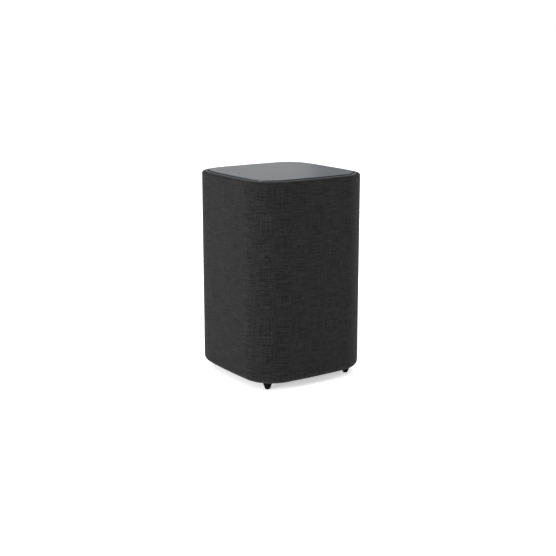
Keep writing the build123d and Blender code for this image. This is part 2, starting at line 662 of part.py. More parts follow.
with BuildPart() as woofer_gasket:
    turned_ring(cutout_radius + RECESS_GAP / 2, WOOFER_RADIUS, flange_back, seat)
    with BuildSketch(Plane.XY.offset(flange_back)):
        with PolarLocations(screw_circle, WOOFER_SCREWS):
            Circle(WOOFER_SCREW_RADIUS + SCREW_CLEARANCE)
    extrude(amount=WOOFER_GASKET, mode=Mode.SUBTRACT)
save(woofer_gasket, "woofer_gasket")

screw_points = [Vector(screw_circle, 0).rotate(Axis.Z, 360 / WOOFER_SCREWS * n) for n in range(WOOFER_SCREWS)]
woofer_screws = screws(
    screw_points,
    Plane.XY.offset(flange_front),
    WOOFER_SCREW_RADIUS,
    base_top - flange_front - SCREW_CLEARANCE,
    WOOFER_SCREW_HEAD_RADIUS,
    WOOFER_SCREW_HEAD,
)
save(woofer_screws, "woofer_screws")

# ---------------------------------------------------------------- surround and its front ring
surround_front = flange_front - SURROUND_THICKNESS
surround_line = flange_front - SURROUND_THICKNESS / 2
half_web = SURROUND_THICKNESS / 2
with BuildPart() as woofer_surround:
    with BuildSketch(Plane.XZ):
        folded((roll_centre, surround_line), SURROUND_ROLL_RADIUS, SURROUND_THICKNESS, True)
        flat_web(cone_shoulder, cone_rim + half_web, surround_line, SURROUND_THICKNESS)
        flat_web(flange_inner - half_web, surround_outer, surround_line, SURROUND_THICKNESS)
    revolve(axis=Axis.Z)
save(woofer_surround, "woofer_surround")

with BuildPart() as surround_ring:
    ring_inner = surround_outer - SURROUND_LIP + SURROUND_THICKNESS
    turned_ring(ring_inner, surround_outer, surround_front - FRONT_RING_THICKNESS, surround_front)
    fillet(surround_ring.edges().group_by(Axis.Z)[0], FRONT_RING_THICKNESS / 3)
save(surround_ring, "surround_ring")

# ---------------------------------------------------------------- cone, dust cap and voice coil
cone_back = flange_front + CONE_THICKNESS
neck_front = flange_front + CONE_NECK_HEIGHT - CONE_THICKNESS
neck_back = neck_front + 1.4 * CONE_THICKNESS
neck_radius = former_radius + GLUE_GAP
cone_slope = (neck_front - flange_front) / (cone_shoulder - neck_radius)
with BuildPart() as woofer_cone:
    turned(
        (cone_rim, flange_front),
        (cone_rim, cone_back),
        (cone_shoulder + CONE_THICKNESS / 2, cone_back),
        (neck_radius, neck_back),
        (neck_radius, neck_front),
        (cone_shoulder, flange_front),
    )
save(woofer_cone, "woofer_cone")

cap_rim = neck_front - cone_slope * (DUST_CAP_RADIUS - neck_radius) - GLUE_GAP
cap_low = cap_rim - DUST_CAP_HEIGHT
with BuildPart() as dust_cap:
    with BuildSketch(Plane.XZ):
        with BuildLine():
            TangentArc((0, cap_low), (DUST_CAP_RADIUS, cap_rim), tangent=(1, 0))
            inner_rim = (DUST_CAP_RADIUS - DUST_CAP_THICKNESS, cap_rim)
            Line((DUST_CAP_RADIUS, cap_rim), inner_rim)
            TangentArc((0, cap_low + DUST_CAP_THICKNESS), inner_rim, tangent=(1, 0))
            Line((0, cap_low), (0, cap_low + DUST_CAP_THICKNESS))
        make_face()
    revolve(axis=Axis.Z)
save(dust_cap, "dust_cap")

winding_middle = motor_front + TOP_PLATE_THICKNESS / 2
winding_top = winding_middle + WINDING_LENGTH / 2
with BuildPart() as coil_former:
    turned_ring(COIL_RADIUS, former_radius, neck_front, winding_top)
save(coil_former, "coil_former")

with BuildPart() as voice_coil:
    turned_ring(former_radius, winding_radius, winding_top - WINDING_LENGTH, winding_top)
save(voice_coil, "voice_coil")

# ---------------------------------------------------------------- spider
spider_line = shelf - SPIDER_THICKNESS / 2
spider_inner = former_radius + GLUE_GAP
spider_start = spider_inner + SPIDER_INNER_LIP
spider_end = spider_start + 2 * SPIDER_ROLL_RADIUS * SPIDER_ROLLS
half_web = SPIDER_THICKNESS / 2
with BuildPart() as woofer_spider:
    with BuildSketch(Plane.XZ):
        flat_web(spider_inner, spider_start + half_web, spider_line, SPIDER_THICKNESS)
        flat_web(spider_end - half_web, SPIDER_SHELF_RADIUS - BASKET_WALL, spider_line, SPIDER_THICKNESS)
        for roll in range(SPIDER_ROLLS):
            middle = spider_start + SPIDER_ROLL_RADIUS * (2 * roll + 1)
            folded((middle, spider_line), SPIDER_ROLL_RADIUS, SPIDER_THICKNESS, roll % 2 == 0)
    revolve(axis=Axis.Z)
save(woofer_spider, "woofer_spider")

# ---------------------------------------------------------------- motor
with BuildPart() as motor_top_plate:
    turned_ring(winding_radius + MAGNETIC_GAP, TOP_PLATE_RADIUS, motor_front, magnet_front)
save(motor_top_plate, "motor_top_plate")

with BuildPart() as motor_magnet:
    turned_ring(MAGNET_HOLE_RADIUS, MAGNET_RADIUS, magnet_front, yoke_front)
    fillet(motor_magnet.edges().filter_by(GeomType.CIRCLE).group_by(SortBy.RADIUS)[-1], MAGNET_EDGE)
save(motor_magnet, "motor_magnet")

with BuildPart() as motor_yoke:
    pole_radius = COIL_RADIUS - POLE_GAP
    turned_ring(POLE_VENT_RADIUS, YOKE_RADIUS, yoke_front, yoke_back)
    turned_ring(POLE_VENT_RADIUS, pole_radius, motor_front, yoke_front)
    rim = motor_yoke.edges().filter_by(GeomType.CIRCLE).group_by(SortBy.RADIUS)[-1]
    chamfer(rim.sort_by(Axis.Z)[-1], YOKE_THICKNESS / 4)
save(motor_yoke, "motor_yoke")

# ---------------------------------------------------------------- woofer terminals and tinsel leads
with BuildPart() as terminal_strip:
    with BuildSketch(Plane.XY.offset(strip_bottom)):
        with Locations((0, terminal_face + TERMINAL_THICKNESS / 2)):
            Rectangle(TERMINAL_WIDTH, TERMINAL_THICKNESS)
    extrude(amount=TERMINAL_HEIGHT)
save(terminal_strip, "terminal_strip")

tab_middle = terminal_face + TERMINAL_THICKNESS + TAB_THICKNESS / 2
tab_top = strip_top + TAB_LENGTH
with BuildPart() as terminal_tabs:
    with BuildSketch(Plane.XY.offset(strip_bottom + TAB_LENGTH / 2)):
        with Locations((0, tab_middle)):
            with GridLocations(TAB_SPACING, 0, 2, 1):
                Rectangle(TAB_WIDTH, TAB_THICKNESS)
    extrude(amount=tab_top - strip_bottom - TAB_LENGTH / 2)
save(terminal_tabs, "terminal_tabs")

tinsel_inner = DUST_CAP_RADIUS + 2 * TINSEL_RADIUS
tinsel_low = neck_back - cone_slope * (tinsel_inner - neck_radius) + 2 * TINSEL_RADIUS + 2 * GLUE_GAP
tinsel_outer = terminal_face - GLUE_GAP
tinsel_high = strip_bottom + 2 * TINSEL_RADIUS
tinsel_bow = (tinsel_low + tinsel_high) / 2 + TINSEL_RISE
with BuildPart() as tinsel_leads:
    for x in (-TAB_SPACING / 2, TAB_SPACING / 2):
        with BuildLine() as run:
            ThreePointArc(
                (x, tinsel_inner, tinsel_low),
                (x, (tinsel_inner + tinsel_outer) / 2, tinsel_bow),
                (x, tinsel_outer, tinsel_high),
            )
        with BuildSketch(Plane(origin=run.line @ 0, z_dir=run.line % 0)):
            Circle(TINSEL_RADIUS)
        sweep(path=run.line)
save(tinsel_leads, "tinsel_leads")

# ---------------------------------------------------------------- rear panel
inlet_hole = (INLET_WIDTH + FIT_GAP, INLET_HEIGHT + FIT_GAP)
with BuildPart() as rear_panel:
    with BuildSketch(rear_plane(rear_back)):
        RectangleRounded(REAR_WIDTH - 2 * FIT_GAP, REAR_HEIGHT - 2 * FIT_GAP, REAR_CORNER - FIT_GAP)
        with Locations(*rear_screw_places):
            Circle(REAR_SCREW_RADIUS + SCREW_CLEARANCE, mode=Mode.SUBTRACT)
        with Locations(inlet_offset):
            RectangleRounded(*inlet_hole, INLET_HEIGHT / 5, mode=Mode.SUBTRACT)
        with Locations(button_offset):
            Circle(BUTTON_RADIUS + BUTTON_GAP, mode=Mode.SUBTRACT)
        with Locations(light_offset):
            Circle(LIGHT_RADIUS + THREAD_GAP, mode=Mode.SUBTRACT)
    extrude(amount=REAR_THICKNESS)
    with BuildSketch(rear_plane(rear_face)):
        with Locations(*rear_screw_places):
            Circle(REAR_SCREW_HEAD_RADIUS + SCREW_CLEARANCE)
    extrude(amount=-REAR_SCREW_HEAD, mode=Mode.SUBTRACT)
    with BuildSketch(rear_plane(rear_face)):
        with Locations(inlet_offset):
            flange_width = INLET_WIDTH + 2 * INLET_FLANGE + FIT_GAP
            flange_height = INLET_HEIGHT + 2 * INLET_FLANGE + FIT_GAP
            RectangleRounded(flange_width, flange_height, INLET_HEIGHT / 4)
    extrude(amount=-INLET_FLANGE_THICKNESS, mode=Mode.SUBTRACT)
    with BuildSketch(rear_plane(supply_board_face)):
        with GridLocations(*pillar_grid, 2, 2):
            Circle(PILLAR_RADIUS)
            Circle(REAR_SCREW_RADIUS + THREAD_GAP, mode=Mode.SUBTRACT)
    extrude(amount=SUPPLY_BOARD_DEPTH)
    # Two shouldered pegs carry the control board.
    peg_end = control_board_face - 2 * BOARD_THICKNESS
    for start, radius in ((control_board_face, PEG_SHOULDER), (peg_end, PEG_RADIUS)):
        with BuildSketch(rear_plane(start)):
            with Locations(*peg_places):
                Circle(radius)
        extrude(amount=rear_back - start)
save(rear_panel, "rear_panel")

with BuildPart() as rear_gasket:
    with BuildSketch(rear_plane(rear_seat)):
        RectangleRounded(REAR_WIDTH - 2 * FIT_GAP, REAR_HEIGHT - 2 * FIT_GAP, REAR_CORNER - FIT_GAP)
        RectangleRounded(window_width, window_height, REAR_CORNER / 2, mode=Mode.SUBTRACT)
        with Locations(*rear_screw_places):
            Circle(REAR_SCREW_RADIUS + SCREW_CLEARANCE, mode=Mode.SUBTRACT)
    extrude(amount=REAR_GASKET)
save(rear_gasket, "rear_gasket")

rear_screws = screws(
    [(-x, y) for x, y in rear_screw_places],
    Plane(origin=(0, rear_face - REAR_SCREW_HEAD, REAR_CENTRE_HEIGHT), x_dir=(1, 0, 0), z_dir=(0, -1, 0)),
    REAR_SCREW_RADIUS,
    REAR_SCREW_LENGTH,
    REAR_SCREW_HEAD_RADIUS,
    REAR_SCREW_HEAD,
)
save(rear_screws, "rear_screws")

# ---------------------------------------------------------------- mains inlet
with BuildPart() as mains_inlet:
    with BuildSketch(rear_plane(rear_face - INLET_FLANGE_THICKNESS)):
        with Locations(inlet_offset):
            RectangleRounded(INLET_WIDTH, INLET_HEIGHT, INLET_HEIGHT / 5)
    extrude(amount=-(INLET_DEPTH - INLET_FLANGE_THICKNESS))
    with BuildSketch(rear_plane(rear_face)):
        with Locations(inlet_offset):
            RectangleRounded(INLET_WIDTH + 2 * INLET_FLANGE, INLET_HEIGHT + 2 * INLET_FLANGE, INLET_HEIGHT / 4)
    extrude(amount=-INLET_FLANGE_THICKNESS)
    with BuildSketch(rear_plane(rear_face)):
        with Locations(inlet_offset):
            SlotOverall(INLET_CAVITY_WIDTH, INLET_CAVITY_HEIGHT)
    extrude(amount=-INLET_CAVITY_DEPTH, mode=Mode.SUBTRACT)
    with BuildSketch(rear_plane(rear_face - INLET_DEPTH)):
        with Locations(inlet_offset):
            with GridLocations(PIN_SPACING, 0, 2, 1):
                Circle(PIN_RADIUS + THREAD_GAP)
    extrude(amount=INLET_DEPTH - INLET_CAVITY_DEPTH, mode=Mode.SUBTRACT)
save(mains_inlet, "mains_inlet")

pin_start = supply_board_face - BOARD_THICKNESS - PIN_TAIL
pin_end = rear_face - INLET_CAVITY_DEPTH + PIN_LENGTH
with BuildPart() as inlet_pins:
    with BuildSketch(rear_plane(pin_start)):
        with Locations(inlet_offset):
            with GridLocations(PIN_SPACING, 0, 2, 1):
                Circle(PIN_RADIUS)
    extrude(amount=pin_end - pin_start)
    fillet(inlet_pins.edges().group_by(Axis.Y)[-1], PIN_RADIUS * 0.6)
save(inlet_pins, "inlet_pins")

# ---------------------------------------------------------------- connect button, light and their board
with BuildPart() as connect_button:
    with BuildSketch(rear_plane(button_back)):
        with Locations(button_offset):
            Circle(BUTTON_RADIUS)
    extrude(amount=rear_face + BUTTON_PROUD - button_back)
    fillet(connect_button.edges().group_by(Axis.Y)[-1], BUTTON_PROUD / 2)
    with BuildSketch(rear_plane(button_back)):
        with Locations(button_offset):
            Circle(BUTTON_RADIUS + BUTTON_COLLAR)
    extrude(amount=BUTTON_COLLAR_THICKNESS)
    with BuildSketch(rear_plane(stem_end)):
        with Locations(button_offset):
            Circle(BUTTON_STEM_RADIUS)
    extrude(amount=BUTTON_STEM)
save(connect_button, "connect_button")

with BuildPart() as button_switch:
    with BuildSketch(rear_plane(control_board_face)):
        with Locations(button_offset):
            Rectangle(SWITCH_SIZE, SWITCH_SIZE)
    extrude(amount=SWITCH_HEIGHT)
save(button_switch, "button_switch")

with BuildPart() as control_board:
    with BuildSketch(rear_plane(control_board_face)):
        with Locations(control_middle):
            Rectangle(*CONTROL_BOARD)
        with Locations(*peg_places):
            Circle(PEG_RADIUS + THREAD_GAP, mode=Mode.SUBTRACT)
    extrude(amount=-BOARD_THICKNESS)
save(control_board, "control_board")

with BuildPart() as status_light:
    with BuildSketch(rear_plane(control_board_face)):
        with Locations(light_offset):
            Circle(LIGHT_RADIUS)
    extrude(amount=rear_face - control_board_face)
    with BuildSketch(rear_plane(rear_back)):
        with Locations(light_offset):
            Circle(LIGHT_RADIUS + LIGHT_COLLAR)
    extrude(amount=-LIGHT_COLLAR)
save(status_light, "status_light")

# ---------------------------------------------------------------- amplifier chamber
lead_leaves = (amplifier_board_face + supply_board_face - BOARD_THICKNESS) / 2
chamber_bottom = REAR_CENTRE_HEIGHT - chamber_height / 2
with BuildPart() as amplifier_chamber:
    with BuildSketch(rear_plane(chamber_end)):
        RectangleRounded(chamber_width, chamber_height, REAR_CORNER / 2)
    extrude(amount=CHAMBER_DEPTH)
    with BuildSketch(rear_plane(chamber_end + CHAMBER_WALL)):
        RectangleRounded(chamber_width - 2 * CHAMBER_WALL, chamber_height - 2 * CHAMBER_WALL, CHAMBER_WALL)
    extrude(amount=CHAMBER_DEPTH - CHAMBER_WALL, mode=Mode.SUBTRACT)
    with BuildSketch(Plane.XY.offset(chamber_bottom)):
        with Locations((0, lead_leaves)):
            Circle(GROMMET_RADIUS)
    extrude(amount=CHAMBER_WALL, mode=Mode.SUBTRACT)
save(amplifier_chamber, "amplifier_chamber")

with BuildPart() as lead_grommet:
    with BuildSketch(Plane.XY.offset(chamber_bottom - GROMMET_LIP)):
        with Locations((0, lead_leaves)):
            Circle(GROMMET_RADIUS + GROMMET_LIP)
    extrude(amount=GROMMET_LIP)
    with BuildSketch(Plane.XY.offset(chamber_bottom)):
        with Locations((0, lead_leaves)):
            Circle(GROMMET_RADIUS)
    extrude(amount=CHAMBER_WALL)
    with BuildSketch(Plane.XY.offset(chamber_bottom + CHAMBER_WALL)):
        with Locations((0, lead_leaves)):
            Circle(GROMMET_RADIUS + GROMMET_LIP)
    extrude(amount=GROMMET_LIP)
    with BuildSketch(Plane.XY.offset(chamber_bottom - GROMMET_LIP)):
        with Locations((0, lead_leaves)):
            Circle(LEAD_RADIUS + THREAD_GAP)
    extrude(amount=2 * GROMMET_LIP + CHAMBER_WALL, mode=Mode.SUBTRACT)
save(lead_grommet, "lead_grommet")

# ---------------------------------------------------------------- boards and what they carry
def board(face, *holes):
    """A circuit board whose outward side is at face, with screw holes and (place, radius) holes."""
    with BuildPart() as made:
        with BuildSketch(rear_plane(face)):
            Rectangle(board_width, board_height)
            with GridLocations(*pillar_grid, 2, 2):
                Circle(REAR_SCREW_RADIUS + SCREW_CLEARANCE, mode=Mode.SUBTRACT)
            for place, radius in holes:
                with Locations(place):
                    Circle(radius, mode=Mode.SUBTRACT)
        extrude(amount=-BOARD_THICKNESS)
    return made


pin_holes = [
    ((inlet_offset[0] + side * PIN_SPACING / 2, inlet_offset[1]), PIN_RADIUS + THREAD_GAP) for side in (-1, 1)
]
board_gap = supply_board_face - BOARD_THICKNESS - amplifier_board_face
supply_board = board(supply_board_face, *pin_holes)
save(supply_board, "supply_board")

amplifier_board = board(amplifier_board_face)
save(amplifier_board, "amplifier_board")

with BuildPart() as board_pillars:
    with BuildSketch(rear_plane(amplifier_board_face)):
        with GridLocations(*pillar_grid, 2, 2):
            Circle(PILLAR_RADIUS)
            Circle(REAR_SCREW_RADIUS + THREAD_GAP, mode=Mode.SUBTRACT)
    extrude(amount=board_gap)
save(board_pillars, "board_pillars")

pillar_points = [(x * pillar_grid[0] / 2, y * pillar_grid[1] / 2) for x in (-1, 1) for y in (-1, 1)]
board_screws = screws(
    pillar_points,
    rear_plane(amplifier_board_face - BOARD_THICKNESS),
    REAR_SCREW_RADIUS,
    AMPLIFIER_BOARD_DEPTH + BOARD_THICKNESS - REAR_THICKNESS,
    REAR_SCREW_HEAD_RADIUS,
    PILLAR_SCREW_HEAD,
)
save(board_screws, "board_screws")

with BuildPart() as transformer:
    with BuildSketch(rear_plane(supply_board_face)):
        with Locations(TRANSFORMER_OFFSET):
            Rectangle(TRANSFORMER[0], TRANSFORMER[1])
    extrude(amount=TRANSFORMER[2])
    with BuildSketch(rear_plane(supply_board_face + TRANSFORMER[2])):
        with Locations(TRANSFORMER_OFFSET):
            with GridLocations(0, TRANSFORMER[1], 1, 2):
                Rectangle(TRANSFORMER[0], TRANSFORMER_CORE)
    extrude(amount=-TRANSFORMER[2] / 4, mode=Mode.SUBTRACT)
save(transformer, "transformer")

with BuildPart() as filter_capacitors:
    with BuildSketch(rear_plane(supply_board_face)):
        with Locations(capacitor_middle):
            with GridLocations(CAPACITOR_PITCH, 0, 2, 1):
                Circle(CAPACITOR_RADIUS)
    extrude(amount=CAPACITOR_HEIGHT)
    fillet(filter_capacitors.edges().group_by(Axis.Y)[-1], CAPACITOR_RADIUS / 8)
save(filter_capacitors, "filter_capacitors")

heat_sink_face = amplifier_board_face - BOARD_THICKNESS
with BuildPart() as heat_sink:
    with BuildSketch(rear_plane(heat_sink_face)):
        Rectangle(*HEAT_SINK)
    extrude(amount=-HEAT_SINK_BASE)
    with BuildSketch(rear_plane(heat_sink_face - HEAT_SINK_BASE)):
        with GridLocations((HEAT_SINK[0] - HEAT_SINK_FIN) / (HEAT_SINK_FINS - 1), 0, HEAT_SINK_FINS, 1):
            Rectangle(HEAT_SINK_FIN, HEAT_SINK[1])
    extrude(amount=-(HEAT_SINK_DEPTH - HEAT_SINK_BASE))
save(heat_sink, "heat_sink")

with BuildPart() as radio_module:
    with BuildSketch(rear_plane(amplifier_board_face)):
        with Locations(radio_middle):
            Rectangle(RADIO_MODULE[0], RADIO_MODULE[1])
    extrude(amount=RADIO_MODULE[2])
save(radio_module, "radio_module")

with BuildPart() as output_coils:
    with BuildSketch(rear_plane(amplifier_board_face)):
        with Locations(COIL_OFFSET):
            with GridLocations(COIL_PITCH, 0, 2, 1):
                Circle(OUTPUT_COIL_RADIUS)
                Circle(OUTPUT_COIL_RADIUS / 3, mode=Mode.SUBTRACT)
    extrude(amount=OUTPUT_COIL_HEIGHT)
save(output_coils, "output_coils")

with BuildPart() as mains_fuse:
    start = (fuse_end, supply_board_face + FUSE_RADIUS, REAR_CENTRE_HEIGHT + FUSE_PLACE[1])
    with BuildSketch(Plane(origin=start, z_dir=(-1, 0, 0))):
        Circle(FUSE_RADIUS)
    extrude(amount=FUSE_LENGTH)
save(mains_fuse, "mains_fuse")

socket_bottom = REAR_CENTRE_HEIGHT - board_height / 2 + OUTPUT_SOCKET[1]
with BuildPart() as output_socket:
    with BuildSketch(Plane.XY.offset(socket_bottom)):
        with Locations((0, amplifier_board_face + OUTPUT_SOCKET[2] / 2)):
            Rectangle(OUTPUT_SOCKET[0], OUTPUT_SOCKET[2])
    extrude(amount=OUTPUT_SOCKET[1])
save(output_socket, "output_socket")

# ---------------------------------------------------------------- speaker lead
connector_bottom = strip_top + CONNECTOR_GAP
connector_top = connector_bottom + CONNECTOR[2]
with BuildPart() as lead_connector:
    with BuildSketch(Plane.XY.offset(connector_bottom)):
        with Locations((0, tab_middle)):
            RectangleRounded(TAB_SPACING + CONNECTOR[0], CONNECTOR[1], CONNECTOR[1] / 5)
    extrude(amount=CONNECTOR[2])
    with BuildSketch(Plane.XY.offset(connector_bottom)):
        with Locations((0, tab_middle)):
            with GridLocations(TAB_SPACING, 0, 2, 1):
                Rectangle(TAB_WIDTH + 2 * THREAD_GAP, TAB_THICKNESS + 2 * THREAD_GAP)
    extrude(amount=tab_top + THREAD_GAP - connector_bottom, mode=Mode.SUBTRACT)
save(lead_connector, "lead_connector")

lead_drop = chamber_bottom - GROMMET_LIP
lead_knee = (lead_drop - connector_top) / 3
lead_slant = Vector(0, lead_leaves - tab_middle, lead_knee)
lead_bend = LEAD_BEND * lead_knee / tan(radians(lead_slant.get_angle(Vector(0, 0, 1)) / 2))
with BuildPart() as speaker_lead:
    with BuildLine() as lead_route:
        FilletPolyline(
            (0, lead_leaves, socket_bottom),
            (0, lead_leaves, lead_drop - lead_knee),
            (0, tab_middle, connector_top + lead_knee),
            (0, tab_middle, connector_top),
            radius=lead_bend,
        )
    with BuildSketch(Plane(origin=(0, lead_leaves, socket_bottom), z_dir=(0, 0, -1))):
        Circle(LEAD_RADIUS)
    sweep(path=lead_route.line)
save(speaker_lead, "speaker_lead")
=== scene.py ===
# %% [markdown]
# # A powered subwoofer, finished for the camera
#
# The imported model already holds every hard piece at its real size: the cabinet, the woofer, the
# amplifier and the panels. This lesson dresses it. The cloth, the top panel, the feet and the
# woofer's flexible rings are drawn again as smooth surfaces worked out with numpy, and every
# surface gets a procedural finish. We start by loading the model.

# %% Load the frame
import math

import bpy
import numpy as np
from mathutils import Matrix, Vector


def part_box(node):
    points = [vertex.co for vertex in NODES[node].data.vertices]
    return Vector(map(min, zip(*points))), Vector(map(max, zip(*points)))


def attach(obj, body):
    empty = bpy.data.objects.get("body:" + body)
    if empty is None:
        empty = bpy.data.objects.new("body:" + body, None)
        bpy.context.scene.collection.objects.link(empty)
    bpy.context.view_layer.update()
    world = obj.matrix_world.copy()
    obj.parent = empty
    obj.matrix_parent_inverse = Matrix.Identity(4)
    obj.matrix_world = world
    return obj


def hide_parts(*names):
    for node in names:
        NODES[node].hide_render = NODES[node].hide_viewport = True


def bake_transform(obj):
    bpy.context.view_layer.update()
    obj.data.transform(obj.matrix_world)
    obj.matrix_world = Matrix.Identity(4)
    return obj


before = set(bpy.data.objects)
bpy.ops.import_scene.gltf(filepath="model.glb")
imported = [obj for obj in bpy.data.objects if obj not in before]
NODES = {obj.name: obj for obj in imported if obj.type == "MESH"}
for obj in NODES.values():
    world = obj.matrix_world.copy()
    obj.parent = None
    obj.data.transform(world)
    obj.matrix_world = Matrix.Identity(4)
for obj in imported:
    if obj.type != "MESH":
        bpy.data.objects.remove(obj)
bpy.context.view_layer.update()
MM = 0.001


# %% [markdown]
# ## Shader maths as plain expressions
#
# A procedural finish is arithmetic on patterns. Wiring Math nodes by hand hides that arithmetic,
# so one small class wraps a socket and overloads the operators: `1 - mask * 0.5` then adds the
# nodes it needs. Any other node comes from `Shader.node`, which sets its properties first and then
# fills or links its inputs.

# %% A socket that understands arithmetic
class Value:
    """A shader socket that carries a number, with arithmetic that adds Math nodes."""

    def __init__(self, shader, socket):
        self.shader, self.socket = shader, socket

    def _math(self, operation, *terms):
        made = self.shader.node("ShaderNodeMath", {"operation": operation}, dict(enumerate(terms)))
        return Value(self.shader, made.outputs[0])

    def __add__(self, other):
        return self._math("ADD", self, other)

    def __sub__(self, other):
        return self._math("SUBTRACT", self, other)

    def __rsub__(self, other):
        return self._math("SUBTRACT", other, self)

    def __mul__(self, other):
        return self._math("MULTIPLY", self, other)

    __radd__ = __add__
    __rmul__ = __mul__

    def sine(self):
        return self._math("SINE", self)

    def size(self):
        return self._math("ABSOLUTE", self)

    def fraction(self):
        return self._math("FRACT", self)

    def whole(self):
        return self._math("FLOOR", self)

    def clamped(self):
        return self._math("MINIMUM", self._math("MAXIMUM", self, 0.0), 1.0)

    def step(self, low, high):
        """0 below low, 1 above high, and a smooth rise between them."""
        made = self.shader.node(
            "ShaderNodeMapRange",
            {"interpolation_type": "SMOOTHSTEP"},
            {"Value": self, "From Min": low, "From Max": high},
        )
        return Value(self.shader, made.outputs[0])


# %% [markdown]
# The shader itself is a material with one Principled surface. It offers the few patterns that this
# object's finishes are made from, and a way to hand the results over: colour, roughness and bump
# are the only things that change across a surface, and everything else is set on the socket.

# %% A material that is built from expressions
class Shader:
    """A material with one Principled BSDF, and methods for the patterns that feed it."""

    def __init__(self, name, **fixed):
        self.material = bpy.data.materials.new(name)
        self.material.use_nodes = True
        self.tree = self.material.node_tree
        self.surface = self.tree.nodes["Principled BSDF"]
        for socket, value in fixed.items():
            self.surface.inputs[socket.replace("_", " ")].default_value = value

    def node(self, kind, settings, inputs):
        """Adds a node: its settings first, then each input's value or link."""
        made = self.tree.nodes.new(kind)
        for key, value in settings.items():
            setattr(made, key, value)
        for key, value in inputs.items():
            source = value.socket if isinstance(value, Value) else value
            if isinstance(source, bpy.types.NodeSocket):
                self.tree.links.new(source, made.inputs[key])
            else:
                made.inputs[key].default_value = source
        return made

    def object_point(self, stretch=(1.0, 1.0, 1.0)):
        """The place on the object in metres, multiplied by stretch along X, Y and Z."""
        place = self.node("ShaderNodeTexCoord", {}, {}).outputs["Object"]
        return self.stretched(place, stretch)

    def own_uv(self, stretch=(1.0, 1.0, 1.0)):
        """The piece's own UV in metres, multiplied by stretch."""
        place = self.node("ShaderNodeUVMap", {"uv_map": "cloth"}, {}).outputs["UV"]
        return self.stretched(place, stretch)

    def stretched(self, place, stretch):
        made = self.node("ShaderNodeVectorMath", {"operation": "MULTIPLY"}, {0: place, 1: stretch})
        return made.outputs[0]

    def parts_of(self, place):
        """The three numbers that make up a vector."""
        made = self.node("ShaderNodeSeparateXYZ", {}, {0: place})
        return [Value(self, output) for output in made.outputs]

    def noise(self, place, scale=1.0, detail=2.0, roughness=0.5):
        """Cloudy noise between 0 and 1."""
        inputs = {"Vector": place, "Scale": scale, "Detail": detail, "Roughness": roughness}
        return Value(self, self.node("ShaderNodeTexNoise", {}, inputs).outputs[0])

    def mix(self, amount, dark, light):
        """A colour between dark and light. A Mix node keeps its colours at inputs 6 and 7."""
        inputs = {0: amount, 6: dark, 7: light}
        return self.node("ShaderNodeMix", {"data_type": "RGBA"}, inputs).outputs[2]

    def feed(self, socket, value):
        """Links a value to one socket of the surface."""
        source = value.socket if isinstance(value, Value) else value
        self.tree.links.new(source, self.surface.inputs[socket])

    def bump(self, height, distance, strength=1.0):
        """Raises the surface by height times distance, in metres."""
        inputs = {"Height": height, "Distance": distance, "Strength": strength}
        self.feed("Normal", self.node("ShaderNodeBump", {}, inputs).outputs[0])


def grey(level, tint=0.0):
    """An opaque colour: level is its brightness, and tint moves it from neutral towards blue."""
    return (level * (1 - tint), level, level * (1 + tint), 1.0)


# %% [markdown]
# ## The cover cloth
#
# The cover is a fine plain weave in charcoal, a melange of dark and light fibres with slubs: short
# thick places in the yarn that read as faint streaks along the weft, with a few along the warp.
# A tiled image would repeat and would need a file. Instead the weave is two sets of sine threads
# that swap places in a chequer, and the slubs are noise stretched along each thread. The pattern
# follows the cloth's own UV, which is measured in metres along the cloth, so that it turns the
# corners of the body with the threads unbroken.

# %% Cloth finish
THREAD = 0.9 * MM


def cover_cloth():
    """Charcoal melange plain weave with slubs."""
    s = Shader("cover_cloth", Sheen_Weight=0.04, Sheen_Roughness=0.5, Specular_IOR_Level=0.1)
    along, up, _ = s.parts_of(s.own_uv((1 / THREAD, 1 / THREAD, 1.0)))
    warp = (along * math.pi).sine().size()
    weft = (up * math.pi).sine().size()
    over = ((along.whole() + up.whole()) * 0.5).fraction() * 2.0
    weave = over * weft * (0.55 + 0.45 * warp) + (1 - over) * warp * (0.55 + 0.45 * weft)
    long_weft = s.noise(s.own_uv((30.0, 900.0, 1.0)), 1.0, 2.0, 0.7).step(0.36, 0.62)
    short_weft = s.noise(s.own_uv((120.0, 1100.0, 1.0)), 1.0, 2.0, 0.7).step(0.36, 0.62)
    long_warp = s.noise(s.own_uv((850.0, 22.0, 1.0)), 1.0, 2.0, 0.7).step(0.36, 0.64)
    short_warp = s.noise(s.own_uv((900.0, 110.0, 1.0)), 1.0, 2.0, 0.7).step(0.36, 0.64)
    slub = long_weft * 0.38 + short_weft * 0.24 + long_warp * 0.24 + short_warp * 0.14
    tone = slub * 1.5 + weave * 0.3 - 0.45
    s.feed("Base Color", s.mix(tone.clamped(), grey(0.0014), grey(0.0185)))
    s.feed("Roughness", 0.98 - weave * 0.14)
    s.bump(weave * 0.7 + slub * 0.5, 0.35 * MM, 0.7)
    return s.material


CLOTH = cover_cloth()
print("cloth thread pitch, mm:", THREAD / MM)

# %% [markdown]
# ## Moulded plastics, rubber and paint
#
# Nearly every hard surface here is moulded or coated, and such a surface is never one flat value:
# a fine spark-eroded grain breaks up its gloss, slow clouds shift the roughness where hands have
# rubbed it, and the grain is so small that only its effect on highlights shows. One function makes
# the whole family, because a satin panel and a matte board differ only in a few numbers.

